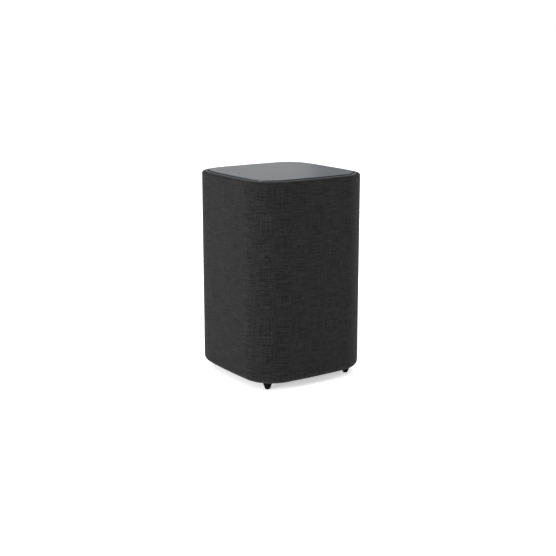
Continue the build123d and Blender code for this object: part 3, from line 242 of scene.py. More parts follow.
# %% Moulded finishes
def moulded(name, dark, light, rough, grain=0.4 * MM, depth=0.02 * MM, wear=0.06, **fixed):
    """A moulded or coated surface: fine grain, cloudy gloss and a slight change of tone."""
    s = Shader(name, **fixed)
    place = s.object_point()
    fine = s.noise(place, 1 / grain, 2.0, 0.6)
    cloud = s.noise(place, 18.0, 4.0, 0.55)
    smear = s.noise(s.object_point((40.0, 7.0, 25.0)), 1.0, 3.0, 0.6)
    s.feed("Base Color", s.mix((cloud * 0.7 + fine * 0.3).clamped(), dark, light))
    s.feed("Roughness", (rough - wear) + (cloud * 0.6 + smear * 0.9) * wear * 1.3 + fine * 0.03)
    s.bump(fine, depth)
    return s.material


PANEL = moulded(
    "panel_plastic",
    grey(0.045, 0.2),
    grey(0.052, 0.2),
    0.24,
    0.25 * MM,
    0.006 * MM,
    0.03,
    Specular_IOR_Level=0.55,
    Specular_Tint=(0.9, 0.96, 1.0, 1.0),
)
RIM = moulded("rim_plastic", grey(0.05, 0.06), grey(0.06, 0.06), 0.28, 0.25 * MM, 0.006 * MM, 0.04)
FOOT = moulded(
    "foot_rubber", grey(0.001), grey(0.002), 0.42, 0.6 * MM, 0.012 * MM, 0.1, Specular_IOR_Level=0.04
)
INNER = moulded("inner_plastic", grey(0.018), grey(0.026), 0.55)
REAR = moulded("rear_plastic", grey(0.016), grey(0.022), 0.62, 0.7 * MM, 0.06 * MM, 0.08)
INLET = moulded("inlet_plastic", grey(0.008), grey(0.012), 0.42, 0.4 * MM, 0.02 * MM)
BUTTON = moulded("button_plastic", grey(0.03), grey(0.04), 0.4, 0.4 * MM, 0.012 * MM)
TRIM = moulded("trim_plastic", grey(0.012), grey(0.017), 0.6, 0.8 * MM, 0.07 * MM, 0.08)
BASKET = moulded("basket_paint", grey(0.01), grey(0.014), 0.5, 0.9 * MM, 0.05 * MM, 0.08)
SURROUND = moulded("surround_rubber", grey(0.010), grey(0.015), 0.5, 0.5 * MM, 0.015 * MM, 0.1)
SEAL = moulded("seal_foam", grey(0.012), grey(0.022), 0.9, 0.8 * MM, 0.12 * MM, 0.05)
LEAD = moulded("lead_rubber", grey(0.010), grey(0.014), 0.45)
SLEEVE = moulded("capacitor_sleeve", grey(0.02, 0.3), grey(0.03, 0.3), 0.3)
BOARD = moulded(
    "circuit_board", (0.010, 0.07, 0.03, 1), (0.016, 0.10, 0.045, 1), 0.35, 1.2 * MM, 0.02 * MM
)
FERRITE = moulded("motor_ferrite", grey(0.04), grey(0.06), 0.55, 0.8 * MM, 0.05 * MM)
print("moulded finishes:", len(bpy.data.materials) - 1)

# %% [markdown]
# ## Bare metals, boards, pulp and fibre
#
# The pieces inside the cabinet deserve true finishes too, since the object may be opened or cut
# away. Drawn metal has fine straight lines, fibreboard has pressed flecks and is stained black
# where light could reach it, paper pulp has matted fibres, and the wadding is loose curls.

# %% Other finishes
def metal(name, colour, rough, lines=(900.0, 40.0, 40.0)):
    """Bare metal with fine drawn lines."""
    s = Shader(name, Metallic=1.0)
    line = s.noise(s.object_point(lines), 1.0, 3.0, 0.6)
    cloud = s.noise(s.object_point(), 30.0, 3.0, 0.5)
    dull = tuple(channel * 0.7 for channel in colour[:3]) + (1.0,)
    s.feed("Base Color", s.mix((line * 0.5 + cloud * 0.5).clamped(), dull, colour))
    s.feed("Roughness", rough + line * 0.14 + cloud * 0.08)
    s.bump(line, 0.01 * MM)
    return s.material


def matted(name, dark, light, scale, depth, rough=0.92):
    """Pressed or matted fibres: noise stretched along two directions."""
    s = Shader(name)
    one = s.noise(s.object_point((scale, scale * 0.16, scale * 0.3)), 1.0, 3.0, 0.65)
    two = s.noise(s.object_point((scale * 0.16, scale, scale * 0.4)), 1.0, 3.0, 0.65)
    cloud = s.noise(s.object_point(), 25.0, 3.0, 0.5)
    fibre = one * 0.5 + two * 0.5
    s.feed("Base Color", s.mix((fibre * 0.8 + cloud * 0.3 - 0.05).clamped(), dark, light))
    s.feed("Roughness", rough - fibre * 0.12)
    s.bump(fibre, depth)
    return s.material


def clear(name, rough, transmission, colour):
    """Clear or frosted glass and light pipes."""
    s = Shader(name, Transmission_Weight=transmission, IOR=1.49)
    frost = s.noise(s.object_point(), 900.0, 2.0, 0.5)
    s.feed("Base Color", s.mix(frost, colour, grey(0.95)))
    s.feed("Roughness", rough + frost * 0.1)
    return s.material


SCREW = metal("screw_steel", grey(0.16), 0.36)
STEEL = metal("motor_steel", grey(0.56), 0.3)
TINNED = metal("contact_metal", grey(0.72), 0.22)
ALUMINIUM = metal("plain_aluminium", grey(0.78), 0.3)
COPPER = metal("copper_wire", (0.72, 0.33, 0.16, 1.0), 0.3, (60.0, 60.0, 1600.0))
FIBREBOARD = matted("cabinet_board", (0.10, 0.06, 0.03, 1), (0.36, 0.25, 0.15, 1), 900.0, 0.12 * MM)
BLACKED = matted("blacked_board", grey(0.008), grey(0.02), 900.0, 0.1 * MM, 0.85)
PULP = matted("cone_pulp", grey(0.010), grey(0.035), 700.0, 0.16 * MM, 0.85)
WADDING = matted("wadding_fibre", grey(0.55), grey(0.85), 420.0, 1.2 * MM)
SPIDER = matted("spider_cloth", (0.22, 0.11, 0.02, 1), (0.52, 0.3, 0.08, 1), 1400.0, 0.12 * MM, 0.7)
GLASS = clear("fuse_glass", 0.05, 0.9, (0.9, 0.95, 0.95, 1))
LIGHT = clear("light_pipe", 0.35, 0.5, (0.8, 0.82, 0.84, 1))
print("finishes in all:", len(bpy.data.materials))

# %% [markdown]
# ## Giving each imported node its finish
#
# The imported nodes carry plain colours. Their meshes must not change, so only the material in each
# slot is swapped, by the node's role.

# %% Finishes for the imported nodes
FINISHES = {
    FIBREBOARD: ("cabinet_brace",),
    BLACKED: ("cabinet_shell", "base_baffle"),
    RIM: ("panel_carrier",),
    PANEL: ("top_panel",),
    CLOTH: ("fabric_cover",),
    TRIM: ("underside_trim", "surround_ring"),
    FOOT: ("front_left_foot", "front_right_foot", "rear_left_foot", "rear_right_foot"),
    BASKET: ("woofer_basket",),
    SEAL: ("base_seal", "woofer_gasket", "rear_gasket", "lead_grommet"),
    SURROUND: ("woofer_surround",),
    PULP: ("woofer_cone", "dust_cap"),
    SPIDER: ("woofer_spider",),
    ALUMINIUM: ("coil_former", "heat_sink"),
    COPPER: ("voice_coil", "output_coils", "tinsel_leads"),
    STEEL: ("motor_top_plate", "motor_yoke"),
    FERRITE: ("motor_magnet", "transformer"),
    SCREW: ("base_screws", "woofer_screws", "rear_screws", "board_screws", "board_pillars"),
    BOARD: ("supply_board", "amplifier_board", "control_board", "terminal_strip"),
    TINNED: ("terminal_tabs", "inlet_pins", "radio_module"),
    INNER: ("amplifier_chamber", "output_socket", "lead_connector", "button_switch"),
    SLEEVE: ("filter_capacitors",),
    REAR: ("rear_panel",),
    INLET: ("mains_inlet",),
    BUTTON: ("connect_button",),
    LIGHT: ("status_light",),
    GLASS: ("mains_fuse",),
    WADDING: ("front_wadding", "left_wadding", "right_wadding", "top_wadding"),
    LEAD: ("speaker_lead",),
}
for material, names in FINISHES.items():
    for name in names:
        for slot in NODES[name].material_slots:
            slot.material = material
plain = sorted(set(NODES) - {name for names in FINISHES.values() for name in names})
print("nodes still plain:", plain)


# %% [markdown]
# ## From grids of points to meshes
#
# Each new piece is a function of two parameters. Whole arrays of points are computed at once and
# joined into quads; a grid may close on itself along either direction, as a ring or a tube does.

# %% Grid helpers
WELD = 2e-3 * MM


def grid_faces(rows, columns, first):
    """Quads between neighbours of a rows by columns grid whose points are numbered row by row."""
    r, c = np.meshgrid(np.arange(rows - 1), np.arange(columns - 1), indexing="ij")
    start = first + r * columns + c
    return np.stack([start, start + 1, start + columns + 1, start + columns], axis=-1).reshape(-1, 4)


def mesh_from_patches(name, patches, material):
    """An object from grids of points, each with a grid of UVs. Points that coincide become one, so
    neighbouring grids, closed rings and poles join, and a quad with a repeated corner becomes a
    triangle. The UVs stay with the corners of the faces, so a closed ring has no smeared column."""
    firsts = np.cumsum([0] + [points[..., 0].size for points, _ in patches])
    grids = [grid_faces(*points.shape[:2], first) for (points, _), first in zip(patches, firsts)]
    quads = np.concatenate(grids)
    points = np.concatenate([points.reshape(-1, 3) for points, _ in patches])
    uvs = np.concatenate([uv.reshape(-1, 2) for _, uv in patches])
    cells = np.round(points / WELD)
    _, index, joined = np.unique(cells, axis=0, return_index=True, return_inverse=True)
    corner = joined.reshape(-1)[quads]
    keep = corner != np.roll(corner, -1, axis=1)
    solid = keep.sum(axis=1) >= 3  # a quad drawn in to a line is dropped
    corner, keep, quads = corner[solid], keep[solid], quads[solid]
    sizes = keep.sum(axis=1)
    mesh = bpy.data.meshes.new(name)
    mesh.vertices.add(len(index))
    mesh.vertices.foreach_set("co", points[index].astype(np.float32).ravel())
    mesh.loops.add(int(sizes.sum()))
    mesh.loops.foreach_set("vertex_index", corner[keep].astype(np.int32))
    mesh.polygons.add(len(sizes))
    starts = np.concatenate([[0], np.cumsum(sizes)[:-1]])
    mesh.polygons.foreach_set("loop_start", starts.astype(np.int32))
    mesh.update(calc_edges=True)
    mesh.polygons.foreach_set("use_smooth", np.ones(len(sizes), bool))
    layer = mesh.uv_layers.new(name="cloth")
    layer.data.foreach_set("uv", uvs[quads[keep]].astype(np.float32).ravel())
    mesh.validate()
    mesh.materials.append(material)
    made = bpy.data.objects.new(name, mesh)
    bpy.context.scene.collection.objects.link(made)
    return made


def arc(centre, radius, start, end, count):
    """Points on an arc, as (count, 2): centre plus radius times (cos, sin) of evenly spaced angles."""
    angle = np.radians(np.linspace(start, end, count))
    return np.array(centre) + radius * np.stack([np.cos(angle), np.sin(angle)], axis=-1)


# %% [markdown]
# ## The body's wrap
#
# Seen from above the body is a square with shallow arcs for sides and round corners. Both arcs
# keep their centres when the outline is drawn in, so one function places any point of the wrap:
# how far along the outline it is, how far in from the outermost outline, and how high. Measuring
# along the outline rather than by angle keeps the threads of the cloth evenly spaced.

# %% Wrap function
cover_low, cover_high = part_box("fabric_cover")
BOTTOM, TOP = cover_low.z, cover_high.z
SIDE_RADIUS, CORNER_RADIUS = 1160 * MM, 59 * MM
SIDE_CENTRE = SIDE_RADIUS - cover_high.x
CORNER = (math.sqrt(2 * (SIDE_RADIUS - CORNER_RADIUS) ** 2 - SIDE_CENTRE**2) - SIDE_CENTRE) / 2
TURN = math.atan2(CORNER, SIDE_CENTRE + CORNER)
SIDE = 2 * SIDE_RADIUS * TURN
QUARTER = SIDE + CORNER_RADIUS * (math.pi / 2 - 2 * TURN)


def wrap(along, inset, height):
    """Points of the wrap. A quarter is a side's arc and then a corner's arc: the angle grows evenly
    with the distance along, the point is the arc's centre plus (radius - inset) times (cos, sin),
    and whole quarters turn it by right angles. The count starts at the middle of the rear side."""
    turns = np.floor((along + SIDE / 2) / QUARTER)
    rest = along - turns * QUARTER
    on_side = rest <= SIDE / 2
    side_angle = math.pi / 2 + rest / SIDE_RADIUS
    corner_angle = math.pi / 2 + TURN + (rest - SIDE / 2) / CORNER_RADIUS
    angle = np.where(on_side, side_angle, corner_angle)
    radius = np.where(on_side, SIDE_RADIUS, CORNER_RADIUS) - inset
    x = np.where(on_side, 0.0, -CORNER) + radius * np.cos(angle)
    y = np.where(on_side, -SIDE_CENTRE, CORNER) + radius * np.sin(angle)
    cos, sin = np.cos(turns * math.pi / 2), np.sin(turns * math.pi / 2)
    return np.stack(np.broadcast_arrays(x * cos - y * sin, x * sin + y * cos, height), axis=-1)


print("cloth round the body, mm:", round(4 * QUARTER / MM, 1))

# %% [markdown]
# ## The cover
#
# The cover is one sleeve of cloth pulled over the whole body and turned in at both ends. At the
# rear it opens in a rounded window for the connection panel. The sleeve is a grid: distance round
# the body one way, and distance up the profile the other. The window is the one awkward place. A
# hole cut through a grid leaves ragged corners, so the part of the grid round the window is left
# out and filled with rings that turn smoothly from the rectangle of grid lines into the rounded
# window. Solidify then gives the cloth its thickness inward, and the edges keep a soft turned hem.

# %% Cover profile
HEM = 0.6 * MM
LOW_LIP, TOP_LIP = 12 * MM, 6.5 * MM
LOW_EDGE, TOP_EDGE = 11 * MM, 4 * MM
CLOTH_THICKNESS = 0.5 * MM
BLOCK_LOW, BLOCK_HIGH = 92 * MM, 212 * MM
straight_low, straight_high = BOTTOM + LOW_EDGE, TOP - TOP_EDGE
ROW = 8 * MM
low_rows = np.arange(straight_low + ROW, BLOCK_LOW - ROW / 2, ROW)
low_rows = np.concatenate([[straight_low + MM], low_rows])
block_rows = np.linspace(BLOCK_LOW, BLOCK_HIGH, 31)
high_rows = np.arange(BLOCK_HIGH + ROW, straight_high - ROW / 2, ROW)
high_rows = np.concatenate([high_rows, [straight_high - MM]])


def upright(heights):
    """Profile points straight up the side."""
    return np.stack([np.zeros(len(heights)), heights], axis=-1)


below_window = np.concatenate(
    [
        [[LOW_LIP, BOTTOM + 3 * HEM]],
        arc((LOW_LIP - HEM, BOTTOM + HEM), HEM, 0, -90, 5),
        arc((LOW_EDGE, BOTTOM + LOW_EDGE), LOW_EDGE, -90, -180, 15),
        upright(low_rows),
        upright(block_rows[:1]),
    ]
)
above_window = np.concatenate(
    [
        upright(block_rows[-1:]),
        upright(high_rows),
        arc((TOP_EDGE, straight_high), TOP_EDGE, 180, 90, 11),
        arc((TOP_LIP - HEM, TOP - HEM), HEM, 90, 0, 5),
        [[TOP_LIP, TOP - 3 * HEM]],
    ]
)
cover_profile = np.concatenate([below_window, upright(block_rows[1:-1]), above_window])
print("profile rows:", len(cover_profile))


# %% Cover mesh
def strip(profile, columns, up_start):
    """A grid of (along, inset, height, distance up the cloth) for a profile and columns."""
    steps = np.linalg.norm(np.diff(profile, axis=0), axis=1)
    up = up_start + np.concatenate([[0.0], np.cumsum(steps)])
    grids = np.broadcast_arrays(columns[None, :], profile[:, :1], profile[:, 1:], up[:, None])
    return np.stack(grids, axis=-1)


WINDOW_LOW, WINDOW_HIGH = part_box("rear_panel")
window_middle = (WINDOW_LOW.z + WINDOW_HIGH.z) / 2
WINDOW_HALF = np.array([(WINDOW_HIGH.x - WINDOW_LOW.x) / 2, (WINDOW_HIGH.z - WINDOW_LOW.z) / 2])
WINDOW_CORNER = 10 * MM
WINDOW_GAP = 0.2 * MM
BLOCK_HALF = 76 * MM
block_columns = np.linspace(-BLOCK_HALF, BLOCK_HALF, 39)
other_columns = np.linspace(BLOCK_HALF, 4 * QUARTER - BLOCK_HALF, 233)


def window_rings():
    """Rings from the block's edge to the window's turned hem, as (along, inset, height, up).
    A point of the block's edge is paired with the nearest point of the rounded window: clamp it to
    the inner rectangle, then go out from there by the corner radius. Rings between the two are
    evenly spaced, and the hem is a quarter turn of radius HEM and a short run inwards."""
    low, high = block_rows[:-1], block_rows[1:][::-1]
    left, right = block_columns[:-1], block_columns[1:][::-1]
    edge = np.concatenate(
        [
            np.stack([left, np.full(len(left), BLOCK_LOW)], axis=-1),
            np.stack([np.full(len(low), BLOCK_HALF), low], axis=-1),
            np.stack([right, np.full(len(right), BLOCK_HIGH)], axis=-1),
            np.stack([np.full(len(high), -BLOCK_HALF), high], axis=-1),
        ]
    )
    edge = np.concatenate([edge, edge[:1]])
    middle = np.array([0.0, window_middle])
    inner = WINDOW_HALF - WINDOW_CORNER
    nearest = np.clip(edge - middle, -inner, inner)
    away = edge - middle - nearest
    away /= np.linalg.norm(away, axis=1, keepdims=True)
    reach = WINDOW_CORNER + WINDOW_GAP

    def ring(extra, inset):
        place = middle + nearest + (reach + extra) * away
        return np.concatenate([place[:, :1], np.full((len(place), 1), inset), place[:, 1:]], axis=1)

    outer = np.concatenate([edge[:, :1], np.zeros((len(edge), 1)), edge[:, 1:]], axis=1)
    start = ring(HEM, 0.0)
    flat = [outer + (start - outer) * share for share in (0.0, 0.25, 0.5, 0.75, 0.92)]
    turn = np.radians(np.linspace(0, 90, 6))
    bend = [ring(HEM * (1 - math.sin(a)), HEM * (1 - math.cos(a))) for a in turn]
    rings = np.stack([*flat, *bend, ring(0.0, 3 * HEM)])
    return np.concatenate([rings, rings[..., 2:]], axis=-1)


below_length = np.linalg.norm(np.diff(below_window, axis=0), axis=1).sum()
patches = [
    strip(cover_profile, other_columns, BLOCK_LOW - below_length),
    strip(below_window, block_columns, BLOCK_LOW - below_length),
    strip(above_window, block_columns, BLOCK_HIGH),
    window_rings(),
]
wrapped = [(wrap(*np.moveaxis(patch[..., :3], -1, 0)), patch[..., [0, 3]]) for patch in patches]
cover = mesh_from_patches("cover_sleeve", wrapped, CLOTH)
shell = cover.modifiers.new("cloth_thickness", "SOLIDIFY")
shell.thickness, shell.offset, shell.use_even_offset = CLOTH_THICKNESS, -1.0, True
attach(cover, "cabinet")
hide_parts("fabric_cover")

# %% [markdown]
# ## The top panel
#
# The top is a flat moulded panel that stands a little proud of the cloth. What the eye reads is
# its edge: a fine rounding that catches a line of light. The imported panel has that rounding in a
# few facets, so it is drawn again: the same outline carried along a profile that runs from the
# middle of the top, over the rounding and down to the underside. The flat parts are the outline
# shrunk towards the middle, which closes the surface at a pole.

# %% Top panel
panel_low, panel_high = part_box("top_panel")
PANEL_INSET = cover_high.x - panel_high.x
EDGE = 0.5 * MM
CREASE = 0.15 * MM
ALL_ROUND = np.linspace(0.0, 4 * QUARTER, 341)
CAP_SHARES = (0.0, 0.3, 0.6, 0.9, 0.985)


def shrunk(share, inset, height):
    """A ring of the outline at an inset, shrunk towards the middle."""
    ring = wrap(ALL_ROUND, inset, height)
    return ring * np.array([share, share, 1.0])


def banded(profile):
    """Rings of the outline for each (inset, height) of a profile."""
    return [wrap(ALL_ROUND, inset, height) for inset, height in profile]


def plate(name, profile, material):
    """A closed plate: caps shrink the profile's first and last rings to poles on the middle line."""
    (inset_a, height_a), (inset_b, height_b) = profile[0], profile[-1]
    caps_a = [shrunk(share, inset_a, height_a) for share in CAP_SHARES]
    caps_b = [shrunk(share, inset_b, height_b) for share in CAP_SHARES[::-1]]
    rings = np.stack([*caps_a, *banded(profile), *caps_b])
    return mesh_from_patches(name, [(rings, rings[..., :2])], material)


panel_profile = np.concatenate(
    [
        arc((PANEL_INSET + CREASE, panel_low.z + CREASE), CREASE, -90, -180, 4),
        arc((PANEL_INSET + EDGE, panel_high.z - EDGE), EDGE, 180, 90, 10),
    ]
)
panel = plate("top_plate", panel_profile, PANEL)
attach(panel, "cabinet")
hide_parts("top_panel")
print("top panel faces:", len(panel.data.polygons))

# %% [markdown]
# ## The feet
#
# Each foot is a black elastomer cone with a polished skin, turned in at the bottom to a small flat
# that stands on the floor. It is a lathe shape: one profile turned about the foot's own axis.

# %% Feet
def lathe(name, profile, middle, material, steps=72):
    """A profile of (radius, height) points turned about the vertical line through middle."""
    angle = np.linspace(0.0, 2 * math.pi, steps + 1)
    radius, height = profile[:, :1], profile[:, 1:]
    x, y = middle[0] + radius * np.cos(angle), middle[1] + radius * np.sin(angle)
    up = np.concatenate([[0.0], np.cumsum(np.linalg.norm(np.diff(profile, axis=0), axis=1))])
    uv = np.stack(np.broadcast_arrays(angle[None, :] * profile[:, 0].max(), up[:, None]), axis=-1)
    points = np.stack(np.broadcast_arrays(x, y, height), axis=-1)
    return mesh_from_patches(name, [(points, uv)], material)


def tangent_arc(start, towards, end, count):
    """An arc that leaves start in the direction towards and arrives at end. Its centre is start plus
    the normal times the radius, and the radius is the gap squared over twice its share along the
    normal."""
    start, end = np.array(start), np.array(end)
    ahead = np.array(towards) / np.linalg.norm(towards)
    normal = np.array([-ahead[1], ahead[0]])
    gap = end - start
    radius = gap @ gap / (2 * (normal @ gap))
    centre = start + radius * normal
    first, last = (math.degrees(math.atan2(*(point - centre)[::-1])) for point in (start, end))
    last += 360 * round((first - last) / 360)
    return arc(centre, abs(radius), first, last, count)


FOOT_TOP, FOOT_WAIST, FOOT_FLAT, FOOT_STEM = 9.0 * MM, 6.2 * MM, 3.6 * MM, 3.2 * MM
WAIST_HEIGHT = 5 * MM
STEM_TOP, STEM_EDGE = BOTTOM + 12 * MM, 0.5 * MM
ROUNDING, CREST = 0.4 * MM, 0.1 * MM
SHOULDER_IN, SHOULDER_DOWN = 0.25 * MM, 1.2 * MM
taper = (FOOT_WAIST - FOOT_TOP, WAIST_HEIGHT - BOTTOM)
sole = tangent_arc((FOOT_WAIST, WAIST_HEIGHT), taper, (FOOT_FLAT, 0.0), 12)
foot_profile = np.concatenate(
    [
        [[0.0, 0.0], [FOOT_FLAT * 0.7, 0.0]],
        sole[::-1],
        [[FOOT_TOP - SHOULDER_IN, BOTTOM - SHOULDER_DOWN]],
        arc((FOOT_TOP - ROUNDING, BOTTOM - ROUNDING), ROUNDING, 0, 90, 6),
        [[FOOT_STEM + CREST, BOTTOM], [FOOT_STEM, BOTTOM + CREST]],
        [[FOOT_STEM, STEM_TOP - STEM_EDGE], [FOOT_STEM - STEM_EDGE, STEM_TOP], [0.0, STEM_TOP]],
    ]
)
for end in ("front_left", "front_right", "rear_left", "rear_right"):
    low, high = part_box(f"{end}_foot")
    middle = ((low.x + high.x) / 2, (low.y + high.y) / 2)
    foot = lathe(f"{end}_turned_foot", foot_profile, middle, FOOT)
    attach(foot, "cabinet")
    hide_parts(f"{end}_foot")
print("foot middle, mm:", [round(abs(c) / MM, 1) for c in middle])

# %% [markdown]
# ## The woofer's rubber surround and corrugated spider
#
# The cone hangs on two rings. In front is a roll of soft rubber, and behind it a disc of stiffened
# cloth pressed into corrugations. Both are thin sheets turned about the cone's axis, so one helper
# gives a line in section its thickness and the lathe turns it. They are also the pieces that bend
# when the cone moves: the inner edge follows the cone and the outer edge stays with the cabinet.

# %% Flexible rings
def thickened(line, thickness):
    """A closed section round a line of (radius, height) points: the line moved half the thickness
    along its normal to either side, with a half round at each end."""
    ahead = np.gradient(line, axis=0)
    ahead /= np.linalg.norm(ahead, axis=1, keepdims=True)
    offset = np.stack([-ahead[:, 1], ahead[:, 0]], axis=-1) * thickness / 2
    ends = [arc(line[-1], thickness / 2, -90, 90, 7), arc(line[0], thickness / 2, 90, 270, 7)]
    return np.concatenate([line - offset, ends[0], (line + offset)[::-1], ends[1]])


def suspended(piece):
    """Bakes the piece's placement into its mesh and reads its points."""
    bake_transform(piece)
    points = np.empty(3 * len(piece.data.vertices), np.float32)
    piece.data.vertices.foreach_get("co", points)


AXIS = (0.0, 0.0)
_, ring_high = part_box("woofer_surround")
RUBBER, ROLL = 0.8 * MM, 6 * MM
RUBBER_LIP, ROOT = 4.2 * MM, 0.9 * MM
FLAT_STOP = 1.3 * ROOT  # the flat runs end this far from the roll
rubber_line = ring_high.z - RUBBER / 2
roll_outer = ring_high.x - RUBBER_LIP
roll_inner = roll_outer - 2 * ROLL
roll_height = rubber_line - ROOT
half_turn = np.radians(np.linspace(180, 360, 41))
roll_radius = (roll_inner + roll_outer) / 2 + ROLL * np.cos(half_turn)
roll_line = np.stack([roll_radius, roll_height + (ROLL - ROOT) * np.sin(half_turn)], axis=-1)


def level(start, end):
    """A flat run of the rubber between two radii."""
    return np.stack([np.linspace(start, end, 6), np.full(6, rubber_line)], axis=-1)


surround_line = np.concatenate(
    [
        level(roll_inner - RUBBER_LIP + RUBBER / 2, roll_inner - FLAT_STOP),
        arc((roll_inner - ROOT, roll_height), ROOT, 90, 0, 7)[:-1],
        roll_line,
        arc((roll_outer + ROOT, roll_height), ROOT, 180, 90, 7)[1:],
        level(roll_outer + FLAT_STOP, ring_high.x - RUBBER / 2),
    ]
)
surround = lathe("rubber_surround", thickened(surround_line, RUBBER), AXIS, SURROUND, 180)
suspended(surround)
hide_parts("woofer_surround")
print("surround faces:", len(surround.data.polygons))

# %% Spider
SPIDER_SHEET, WAVE, WAVES = 0.6 * MM, 2.6 * MM, 5
WEB_INNER, FIRST_WAVE = 25.5 * MM, 28.2 * MM
web_low, web_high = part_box("woofer_spider")
web_line = (web_low.z + web_high.z) / 2
last_wave = FIRST_WAVE + 2 * WAVE * WAVES
web_radius = np.linspace(WEB_INNER + SPIDER_SHEET / 2, web_high.x - SPIDER_SHEET / 2, 160)
into = np.clip(np.minimum(web_radius - FIRST_WAVE, last_wave - web_radius) / (0.5 * WAVE), 0.0, 1.0)
wave = np.sin(math.pi * (web_radius - FIRST_WAVE) / (2 * WAVE)) * into * (2 - into)
spider_line = np.stack([web_radius, web_line - WAVE * wave], axis=-1)
spider = lathe("cloth_spider", thickened(spider_line, SPIDER_SHEET), AXIS, SPIDER, 144)
suspended(spider)
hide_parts("woofer_spider")
print("spider faces:", len(spider.data.polygons), "line height, mm:", round(web_line / MM, 2))

# %% [markdown]
# ## Twisted wires
#
# The two tinsel leads carry the signal across from the terminal strip to the moving cone, and a pair
# of insulated wires brings it down from the amplifier. Each is two strands twisted together, which
# is a helix round the lead's own line, with a tube round the helix. The tinsel leads bend with the cone.

# %% Wires
def frames(path):
    """Two directions across a path: X made square to the path, and the one square to both."""
    ahead = np.gradient(path, axis=0)
    ahead /= np.linalg.norm(ahead, axis=1, keepdims=True)
    side = np.array([1.0, 0.0, 0.0]) - ahead[:, :1] * ahead
    side /= np.linalg.norm(side, axis=1, keepdims=True)
    return side, np.cross(ahead, side)


def travelled(path):
    """The distance along a path at each of its points."""
    return np.concatenate([[0.0], np.cumsum(np.linalg.norm(np.diff(path, axis=0), axis=1))])


def around(path, angle, radius):
    """Points at an angle round a path: the path plus radius times (cos * side + sin * across)."""
    side, across = frames(path)
    return path + radius * (np.cos(angle) * side + np.sin(angle) * across)


def tube(path, radius, count=16):
    """A closed tube round a path, as a patch of points and UVs."""
    angle = np.linspace(0.0, 2 * math.pi, count + 1)
    skin = np.stack([around(path, a, radius) for a in angle], axis=1)
    ends = [np.broadcast_to(path[end], (1, *skin.shape[1:])) for end in (0, -1)]
    points = np.concatenate([ends[0], skin, ends[1]])
    along = np.pad(travelled(path), 1, mode="edge")
    return points, np.stack(np.broadcast_arrays(angle[None, :] * radius, along[:, None]), axis=-1)


def twisted(path, strand, pitch):
    """Two tubes of radius strand, half a turn apart on a helix of that radius round a path."""
    turn = 2 * math.pi * travelled(path)[:, None] / pitch
    return [tube(around(path, turn + start, strand), strand) for start in (0.0, math.pi)]


_, lead_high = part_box("tinsel_leads")
TINSEL, TINSEL_PITCH, TINSEL_BOW = 0.4 * MM, 3.2 * MM, 2.4 * MM
tinsel_x = lead_high.x - 2 * TINSEL
tinsel_start = np.array([37.6 * MM, 60.2 * MM])
tinsel_end = np.array([69.5 * MM, 67.1 * MM])
share = np.linspace(0.0, 1.0, 110)[:, None]
bow = np.array([0.0, 4 * TINSEL_BOW]) * share * (1 - share)
bowed = tinsel_start + (tinsel_end - tinsel_start) * share + bow
strands = []
for x in (-tinsel_x, tinsel_x):
    strands += twisted(np.concatenate([np.full_like(share, x), bowed], axis=1), TINSEL, TINSEL_PITCH)
tinsel = mesh_from_patches("tinsel_pair", strands, COPPER)
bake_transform(tinsel)
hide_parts("tinsel_leads")
print("tinsel faces:", len(tinsel.data.polygons))

# %% Speaker lead
wire_low, wire_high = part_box("speaker_lead")
WIRE, WIRE_PITCH = 1.0 * MM, 18 * MM
STRAND = WIRE * 0.98  # just inside the pair's room, so that it stays in the box
KNEE_TOP, KNEE_DROP = 109 * MM, 15 * MM
wire_back, wire_front = wire_high.y - 2 * WIRE, wire_low.y + 2 * WIRE
wire_z = np.linspace(wire_high.z, wire_low.z, 120)
fall = np.clip((KNEE_TOP - wire_z) / KNEE_DROP, 0.0, 1.0)
fall = fall * fall * (3 - 2 * fall)
wire_y = wire_back + (wire_front - wire_back) * fall
wire_path = np.stack([np.zeros_like(wire_z), wire_y, wire_z], axis=-1)
wires = mesh_from_patches("speaker_wires", twisted(wire_path, STRAND, WIRE_PITCH), LEAD)
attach(wires, "cabinet")
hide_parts("speaker_lead")
print("wire length, mm:", round(travelled(wire_path)[-1] / MM, 1))

# %% [markdown]
# ## Wadding
#
# Pads of polyester fibre line the inside of the cabinet. A pad is a crowned, closed form with soft
# edges, and its sides pull in a little between the corners. Points spaced evenly round a square are
# drawn in by their own power norm, which rounds the square evenly, once for the outline and once
# for the section. Two slow waves make the face uneven, as pulled fibre is.

# %% Wadding pads
PULL_IN, LUMPS = 0.04, 0.06
LUMPS_ACROSS, LUMPS_UP, LUMPS_SHIFT = 130, 110, 1.3  # radians per metre, and radians
EDGE_POWER = 3.5
SQUARE = np.array([[1, -1], [1, 1], [-1, 1], [-1, -1], [1, -1]])
HALF_SQUARE = np.array([[0, -1], [1, -1], [1, 1], [0, 1]])


def rounded(corners, stops, count, power):
    """Points spaced evenly along a run of straight lines, moved onto |x|^power + |y|^power = 1."""
    place = np.linspace(stops[0], stops[-1], count)
    points = np.stack([np.interp(place, stops, column) for column in corners.T], axis=-1)
    return points / (np.abs(points) ** power).sum(axis=-1, keepdims=True) ** (1 / power)


